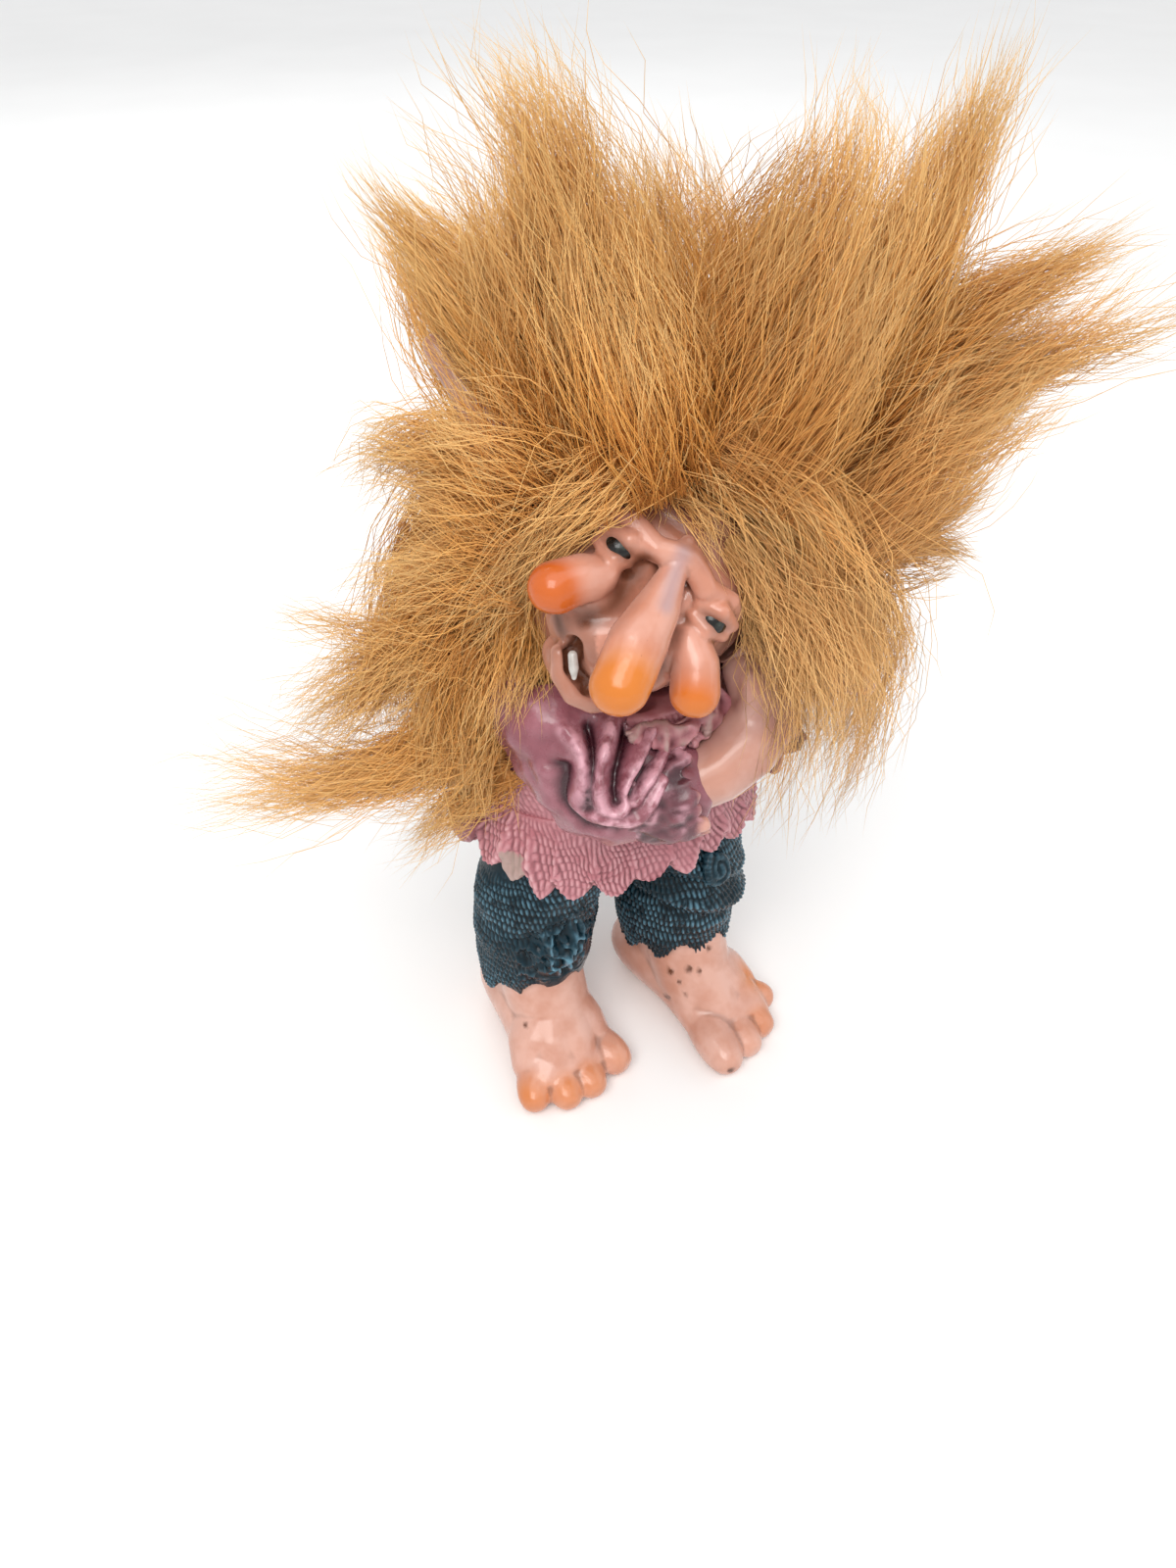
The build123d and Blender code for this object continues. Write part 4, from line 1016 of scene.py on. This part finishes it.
# each lock's bundles: places and thicknesses in millimetres, root first
furLocks = {
    "fringe": (
        ((-3, -13, 82, 3.0), (-7.5, -14.4, 80.4, 3.2), (-11, -12, 76, 3.0), (-13.6, -9, 69.5, 2.4),
         (-14.2, -7.6, 62, 1.2)),
        ((4, -15, 81.5, 3.0), (8, -19.8, 77.8, 3.2), (10.5, -21.3, 72, 3.2), (11.8, -21.4, 66, 2.4),
         (12.2, -20.5, 58.5, 1.2)),
        ((-1, -12.5, 83, 2.4), (0.2, -17.2, 81.6, 2.2), (0.8, -20.4, 78.8, 1.2)),
        ((2.5, -14.5, 82.5, 2.4), (6.2, -18.6, 79.5, 2.8), (8.6, -20.9, 75, 2.4), (10, -21.6, 68.5, 1.0)),
        ((0.8, -13.6, 81.3, 2), (1.1, -16.7, 79.8, 2.2), (1.6, -20.5, 77.8, 2.2),
         (3.1, -22.8, 73.3, 1.8), (4.2, -23.9, 68.1, 0.9)),
        ((-7, -11, 79, 3.0), (-11.8, -9.5, 74, 2.6), (-14, -7.5, 66, 2.2), (-14.8, -7.5, 58, 1.4)),
    ),
    "crown_right": (
        ((-1.0, -7, 79.1, 9.4), (-3.9, -5, 92.7, 8.0), (-7.8, -3.5, 104.5, 4.6), (-10.1, -1.8, 113, 1.4)),
        ((-2.5, -14.5, 80.5, 4.5), (-4.5, -12.5, 89, 5.2), (-5, -8.5, 99, 3.6), (-5, -6, 107, 1.0)),
        ((-3.0, -5, 80, 6.0), (-7.5, -3.0, 91, 4.6), (-11.5, -1.5, 101, 2.6), (-14, 0, 108, 0.8)),
    ),
    "crown_left": (
        ((8.7, -9.5, 77.9, 9.6), (13.7, -12, 91.9, 7.6), (15.9, -14, 102.4, 3.8), (16.3, -13.5, 110.5, 1.0)),
        ((4.5, -16.5, 79.5, 4.5), (10.5, -17.5, 88, 4.6), (15, -17.5, 96, 2.8), (18, -17.5, 103, 0.8)),
        ((7.5, -8, 79, 6.5), (10.5, -9, 90, 5.0), (12.0, -10, 98, 2.6), (12.5, -10.5, 104, 1.0)),
    ),
    "crown_middle": (
        ((10.3, 2, 78.1, 8.6), (12.6, 6, 88.5, 7.0), (11.6, 9, 97.0, 3.8), (9.0, 10.5, 104, 1.2)),
    ),
    "wisp_right": (
        ((-4.1, 0, 83.6, 6.2), (-10, 2.5, 91, 4.2), (-14.5, 6, 97.5, 2.2), (-18.0, 10, 103.6, 0.6)),
        ((-6, -1, 82, 4.0), (-10.5, 0.5, 87, 2.6), (-13.5, 4, 93, 1.2), (-16, 8, 98, 0.5)),
    ),
    "wisp_left": (
        ((18.5, -9.5, 83.3, 7.0), (23.9, -13, 93.8, 5.0), (27.5, -14, 103.5, 2.4), (32, -11.8, 112, 0.8)),
        ((20, -12, 82, 5.5), (28, -16, 89, 3.6), (35, -20, 93.5, 1.8), (41.5, -23.5, 97, 0.6)),
    ),
    "flank_left": (
        ((16.1, -12, 72.1, 8.4), (24.6, -16.5, 80.4, 7.0), (29.2, -21.0, 86.6, 3.6),
         (32.5, -24.6, 91.0, 1.2)),
        ((17, -13, 74, 5.5), (26, -18, 82, 4.2), (32, -22.5, 87, 2.2), (36.5, -26, 90.6, 0.8)),
        ((20, -14, 78, 2.6), (29, -20, 85, 1.6), (36, -25, 90, 0.8), (43, -30, 94.5, 0.4)),
    ),
    "flare_left": (
        ((19.5, -9, 68.5, 7.4), (28, -12.5, 70.5, 5.6), (35, -15, 72.5, 2.6), (39, -16, 74, 1.0)),
        ((18.5, -12, 68, 6.5), (25.5, -15.5, 66.5, 4.8), (31.5, -17.5, 65.5, 2.4), (35, -18.5, 65.5, 1.0)),
    ),
    "side_left": (
        ((17.6, -8.5, 66.5, 6.8), (24.5, -12.5, 56.5, 6.6), (22.6, -12, 44, 4.4), (19.8, -12, 33.5, 1.6)),
        ((4, -17, 75.1, 2.6), (6.3, -19.9, 70.4, 3.2), (8, -22.7, 64.6, 3.4), (9.2, -24.5, 58, 3),
         (8.1, -24.3, 49.8, 1.8), (6.5, -23.6, 43.4, 0.9)),
        ((7.1, -17.7, 73.1, 3.4), (11.2, -21, 67.4, 3.6), (14.7, -23.2, 61, 3.2), (14.8, -23.3, 53.3, 2.4),
         (11.7, -23.1, 45.4, 1.2)),
        ((3.5, -15.7, 74.6, 2), (5.4, -18, 70.2, 2.2), (7, -20.1, 65.1, 2.2), (8, -21.7, 60.1, 2),
         (7.8, -23, 54, 1.4)),
    ),
    "temple_right": (
        ((-9.5, -5, 74, 5.6), (-14, -0.5, 77, 4.0), (-18.5, 4, 78.5, 1.8), (-23.5, 8.5, 79, 0.6)),
        ((-11, -6, 72, 4.4), (-16, -2, 71, 3.0), (-21.5, 3, 68.5, 1.4), (-28, 8.5, 64.5, 0.5)),
        ((-7, -5, 80, 4.6), (-10.5, -2, 84, 3.2), (-13, 1, 88, 1.4), (-15.5, 4, 92, 0.5)),
        ((-9, -8, 79, 3.4), (-13, -6.5, 83, 3.2), (-16.5, -4, 86, 2.2), (-20, -0.5, 88, 0.7)),
        ((-9, -1, 79, 3.6), (-14, 3, 80, 3.4), (-18, 6.5, 78, 2.2), (-21.5, 9, 74, 0.8)),
    ),
    "side_right": (
        ((-12.5, -3, 66.2, 4.8), (-18, 0.5, 62, 3.6), (-23.5, 4, 57, 1.8), (-30, 8, 51.5, 0.9),
         (-36, 11, 48, 0.5)),
        ((-14, -4, 53, 4.4), (-20, -0.5, 48.5, 3.2), (-27, 3.5, 46, 1.5), (-36, 8.5, 45.5, 0.8),
         (-45, 13.5, 45, 0.5)),
        ((-13.5, -3, 60, 4.0), (-19, 1, 61.5, 2.6), (-25, 5, 63.5, 1.4), (-31, 9, 66, 0.6)),
        ((-13.5, -5, 56, 4.2), (-18, -2.5, 50.5, 3.4), (-23, 1, 46.5, 1.8), (-29, 4, 44.5, 0.7)),
        ((-13, -5, 50, 3.0), (-17, -3.5, 45, 1.8), (-22.5, -1, 39, 0.9), (-29, 2, 33, 0.5)),
    ),
    "cheek_right": (
        ((-13.4, -4.5, 62.7, 4.8), (-16.6, -5, 53.5, 4.6), (-17.6, -4.5, 45, 2.4), (-17.5, -4, 40.5, 1.0)),
        ((-10.4, -6.2, 68.3, 2.4), (-13.6, -7.8, 63.2, 2.8), (-16, -9.5, 57.7, 2.8),
         (-17.6, -10.5, 51.8, 2.2), (-18.5, -10.2, 46.9, 1)),
    ),
    "swept_right": (((-4, 4, 80, 7.2), (-7.5, 13, 87, 5.6), (-10.5, 21, 93.5, 1.6)),),
    "swept_left": (((15, 2, 75, 8.0), (24, 8.5, 80.5, 6.2), (32, 14.5, 86, 1.6)),),
    "nape": (((3.3, 4, 80.5, 8.6), (5.5, 14, 88.5, 7.0), (7.5, 24.5, 97.5, 1.8)),),
    "back": (
        ((1.3, 5.6, 71, 11), (2.2, 13.8, 63.3, 10), (1.8, 17.6, 48.6, 7.4), (1.3, 19.5, 36.5, 2.4)),
        ((1, 0, 81, 6.5), (3, 9, 81.5, 6.5), (4, 16.5, 75, 5.5), (4, 19.5, 66, 2.0)),
    ),
    "back_right": (((-8, 5, 70, 7), (-11.5, 12, 60, 6.4), (-13.5, 15.5, 47, 4.6), (-14, 17.5, 36, 1.6)),),
    "back_left": (((11, 4, 68, 8), (17, 9, 59, 7.6), (19, 11.5, 45.5, 5.4), (18.5, 13, 34.5, 1.6)),),
}
# how unruly a lock is, 1 where none is given
messyLocks = {"fringe": 1.9, "side_right": 2.4, "cheek_right": 1.8, "side_left": 1.8, "temple_right": 2.0,
              "crown_left": 1.35, "crown_right": 1.35, "crown_middle": 1.5, "flank_left": 1.6}
fullLocks = ("back", "back_left", "back_right", "nape", "swept_left", "swept_right")  # of even length
# how far a lock turns to the pale tone, not at all where none is given
paleLocks = {"side_right": 0.20, "cheek_right": 0.10, "temple_right": 0.15, "back_right": 0.10,
             "side_left": 0.75, "flare_left": 0.45, "flank_left": 0.35, "fringe": 0.35, "crown_left": 0.15}


def bundle(table, count, mess, full, rng):  # the rings' middles of every strand, and each strand's tone
    spots = np.array([row[:3] for row in table], float)
    thick = np.array([row[3] for row in table], float)
    line = smoothPath(spots, np.linspace(0, 1, 33))
    sides, others = turningFrame(line)
    reach = np.linalg.norm(np.diff(line, axis=0), axis=1).sum()
    rings = furSetup["rings"]
    clumps = max(furSetup["fewestClumps"], int(count / furSetup["perClump"]))
    rho, phi = np.sqrt(rng.random(clumps)), rng.random(clumps) * 2 * np.pi
    clumpBase = np.stack([rho * np.cos(phi), rho * np.sin(phi)], axis=1)
    shortest, spread = 0.54 + 0.24 * full, 0.60 - 0.22 * full
    clumpLong = (shortest + spread * rng.random(clumps)) * (1 - 0.25 * (1 - full) * rho)
    clumpTone = rng.random(clumps)
    clumpWave = (0.5 + 1.0 * rng.random((clumps, 2))) * min(1.0, reach / 30)
    clumpPhase = rng.random((clumps, 2)) * 2 * np.pi
    clumpBend = rng.normal(size=(clumps, 2)) * 0.13 * mess
    clumpDrift = rng.normal(size=(clumps, 2)) * 0.035 * mess * reach
    owner = rng.integers(0, clumps, count)
    kind = rng.random(count)
    stray = kind < furSetup["stray"]
    under = kind > 1 - furSetup["under"]
    length = clumpLong[owner] * (0.78 + 0.28 * rng.random(count))
    length = np.where(under, length * (0.25 + 0.30 * rng.random(count)), length)
    share = np.linspace(0, 1, rings)[None, :] * length[:, None]
    middle = smoothPath(spots, share)
    own = rng.normal(size=(count, 2)) * (0.9 / np.sqrt(clumps)) * 1.15
    closing = (1 - 0.58 * np.clip(share / clumpLong[owner][:, None], 0, 1) ** 1.3)[:, :, None]
    closing = np.where(under[:, None, None], 1.0, closing)
    closing = np.where(stray[:, None, None], 1.0 + 2.2 * share[:, :, None] ** 1.4, closing)
    wide = np.interp(share, np.linspace(0, 1, len(thick)), thick)
    wide = np.maximum(wide, thick.max() * (0.50 - 0.42 * share))
    splay = clumpBase[owner][:, None, :] + clumpBend[owner][:, None, :] * share[:, :, None] ** 2 * 4
    offset = (splay + own[:, None, :] * closing) * wide[:, :, None]
    swing = np.sin(share[:, :, None] * 5.5 + clumpPhase[owner][:, None, :])
    offset += swing * clumpWave[owner][:, None, :] * share[:, :, None]
    offset += clumpDrift[owner][:, None, :] * share[:, :, None] ** 2
    pitch = 1.7 + 1.7 * rng.random((count, 1, 1))
    curl = rng.random((count, 1, 2)) * 2 * np.pi + share[:, :, None] * reach / pitch
    swell = mess * (0.22 + 0.80 * rng.random((count, 1, 1)) ** 2) * np.clip(share[:, :, None] * 5, 0, 1)
    offset += np.sin(curl) * swell
    frizz = rng.normal(size=(count, rings, 2)) * (0.020 * reach / rings)
    frizz = np.where(under[:, None, None], frizz * 2.6, frizz)
    frizz = np.where(stray[:, None, None], frizz * 2.2, frizz)
    frizz[:, 0] = 0
    offset += np.cumsum(np.cumsum(frizz, axis=1), axis=1)
    path = middle + offset[..., :1] * lookUp(sides, share) + offset[..., 1:] * lookUp(others, share)
    return path, clumpTone[owner] * 0.6 + rng.random(count) * 0.4


def keptClear(path, each):  # strands are pushed off the skull and trunk, and none crosses the face or hand
    middle, radius = np.array(furSetup["skull"][0]), furSetup["skull"][1]
    away = path - middle
    gap = np.linalg.norm(away, axis=2, keepdims=True)
    rise = np.linspace(-0.5, 0.5, path.shape[1])[None, :, None]
    path = np.where(gap < radius + rise, middle + away / np.maximum(gap, 1e-6) * (radius + rise), path)
    centre, sizes, top = furSetup["trunk"]
    flat = (path[..., :2] - np.array(centre)) / np.array(sizes)
    gap = np.linalg.norm(flat, axis=2, keepdims=True)
    inside = (gap < 1) & (path[..., 2:] < top)
    moved = np.array(centre) + flat / np.maximum(gap, 1e-6) * np.array(sizes)
    path[..., :2] = np.where(inside, moved, path[..., :2])
    keep = np.ones(len(path), bool)
    for route, radius in furKeepOut:
        near = gapTo(path.reshape(-1, 3), route).reshape(path.shape[:2])
        keep &= (near > radius).all(axis=1)
    keep &= (path[..., 2] > 0.5).all(axis=1)
    return path[keep], each[keep]


def strandMesh(name, path, each, thick):
    count, rings = path.shape[:2]
    way = np.gradient(path, axis=1)
    way = way / np.maximum(np.linalg.norm(way, axis=2, keepdims=True), 1e-9)
    side = np.cross(way, (0.21, 0.43, 0.88))
    side = side / np.maximum(np.linalg.norm(side, axis=2, keepdims=True), 1e-9)
    other = np.cross(way, side)
    taper = thick * (1 - 0.60 * np.linspace(0, 1, rings) ** 2)
    corners = []
    for turn in range(3):
        angle = turn * 2 * np.pi / 3
        corners.append(path + (side * np.cos(angle) + other * np.sin(angle)) * taper[None, :, None])
    body = np.stack(corners, axis=2)[:, :-1]
    places = np.concatenate([body.reshape(count, -1, 3), path[:, -1:]], axis=1)
    perStrand = (rings - 1) * 3 + 1
    quads = [(ring * 3 + turn, ring * 3 + (turn + 1) % 3, ring * 3 + 3 + (turn + 1) % 3, ring * 3 + 3 + turn)
             for ring in range(rings - 2) for turn in range(3)]
    last = (rings - 2) * 3
    caps = [(last + turn, last + (turn + 1) % 3, perStrand - 1) for turn in range(3)] + [(2, 1, 0)]
    base = (np.arange(count) * perStrand)[:, None, None]
    quadLoops = (np.array(quads)[None] + base).reshape(-1)
    capLoops = (np.array(caps)[None] + base).reshape(-1)
    loops = np.concatenate([quadLoops, capLoops]).astype(np.int32)
    quadCount, capCount = len(quadLoops) // 4, len(capLoops) // 3
    starts = np.concatenate([np.arange(quadCount) * 4, quadCount * 4 + np.arange(capCount) * 3])
    mesh = bpy.data.meshes.new(name)
    mesh.vertices.add(count * perStrand)
    mesh.vertices.foreach_set("co", (places * mm).ravel())
    mesh.loops.add(len(loops))
    mesh.loops.foreach_set("vertex_index", loops)
    mesh.polygons.add(quadCount + capCount)
    mesh.polygons.foreach_set("loop_start", starts.astype(np.int32))
    mesh.update(calc_edges=True)
    along = np.tile(np.append(np.repeat(np.linspace(0, 1, rings)[:-1], 3), 1.0), count)
    uv = np.stack([np.repeat(each, perStrand)[loops], along[loops]], axis=1).astype(np.float32)
    for layerName in ("strandMap", "OFBake"):
        mesh.uv_layers.new(name=layerName).data.foreach_set("uv", uv.ravel())
    mesh.validate()
    piece = bpy.data.objects.new(name, mesh)
    bpy.context.scene.collection.objects.link(piece)
    return piece


furKeepOut = (  # routes and how far strands stay from them: the face's window and the arm
    (((-5.3, -16.0, 67.4), (-16.2, -33.0, 80.2)), 8.0),
    (((-1.0, -19.0, 50.5), (5.0, -19.4, 53.0), (8.0, -18.6, 54.8), (7.0, -16.8, 58.6)), 4.4),
    (((-6.0, -18.0, 51.0), (-9.0, -24.0, 56.0)), 5.0),
)
rng = np.random.default_rng(furSetup["seed"])
total = 0
for lockName, bundles in furLocks.items():
    paths, tones, wanted = [], [], []
    mess, full = messyLocks.get(lockName, 1.0), float(lockName in fullLocks)
    for table in bundles:
        reach = sum(math.dist(a[:3], b[:3]) for a, b in zip(table, table[1:]))
        wanted.append(furSetup["perArea"] * reach * max(row[3] for row in table) ** 0.9)
    scale = min(1.0, furSetup["most"] / sum(wanted))
    for table, share in zip(bundles, wanted):
        count = max(furSetup["fewest"], int(share * scale))
        path, each = keptClear(*bundle(table, count // (1), mess, full, rng))
        paths.append(path)
        tones.append(each)
    lock = strandMesh("fur_" + lockName + "Pile", np.concatenate(paths), np.concatenate(tones),
                      furSetup["thick"])
    mark(lock, "pale", np.full(len(lock.data.vertices), paleLocks.get(lockName, 0.0)))
    total += len(lock.data.polygons)
    settle(lock, furPaint.material, "fur", "fur_" + lockName)
print("fur done:", total, "faces")


# floor

deselect()
bpy.ops.mesh.primitive_plane_add(size=6)
floor = bpy.context.object
floor.name = "floor"
floorPaint = Paint("floorPaint", 0.75)
floorPaint.colour(floorPaint.blend(floorPaint.span(floorPaint.noise(60, 2), 0.3, 0.7), (0.89, 0.885, 0.875),
                                   (0.91, 0.905, 0.895)))
floor.data.materials.append(floorPaint.material)
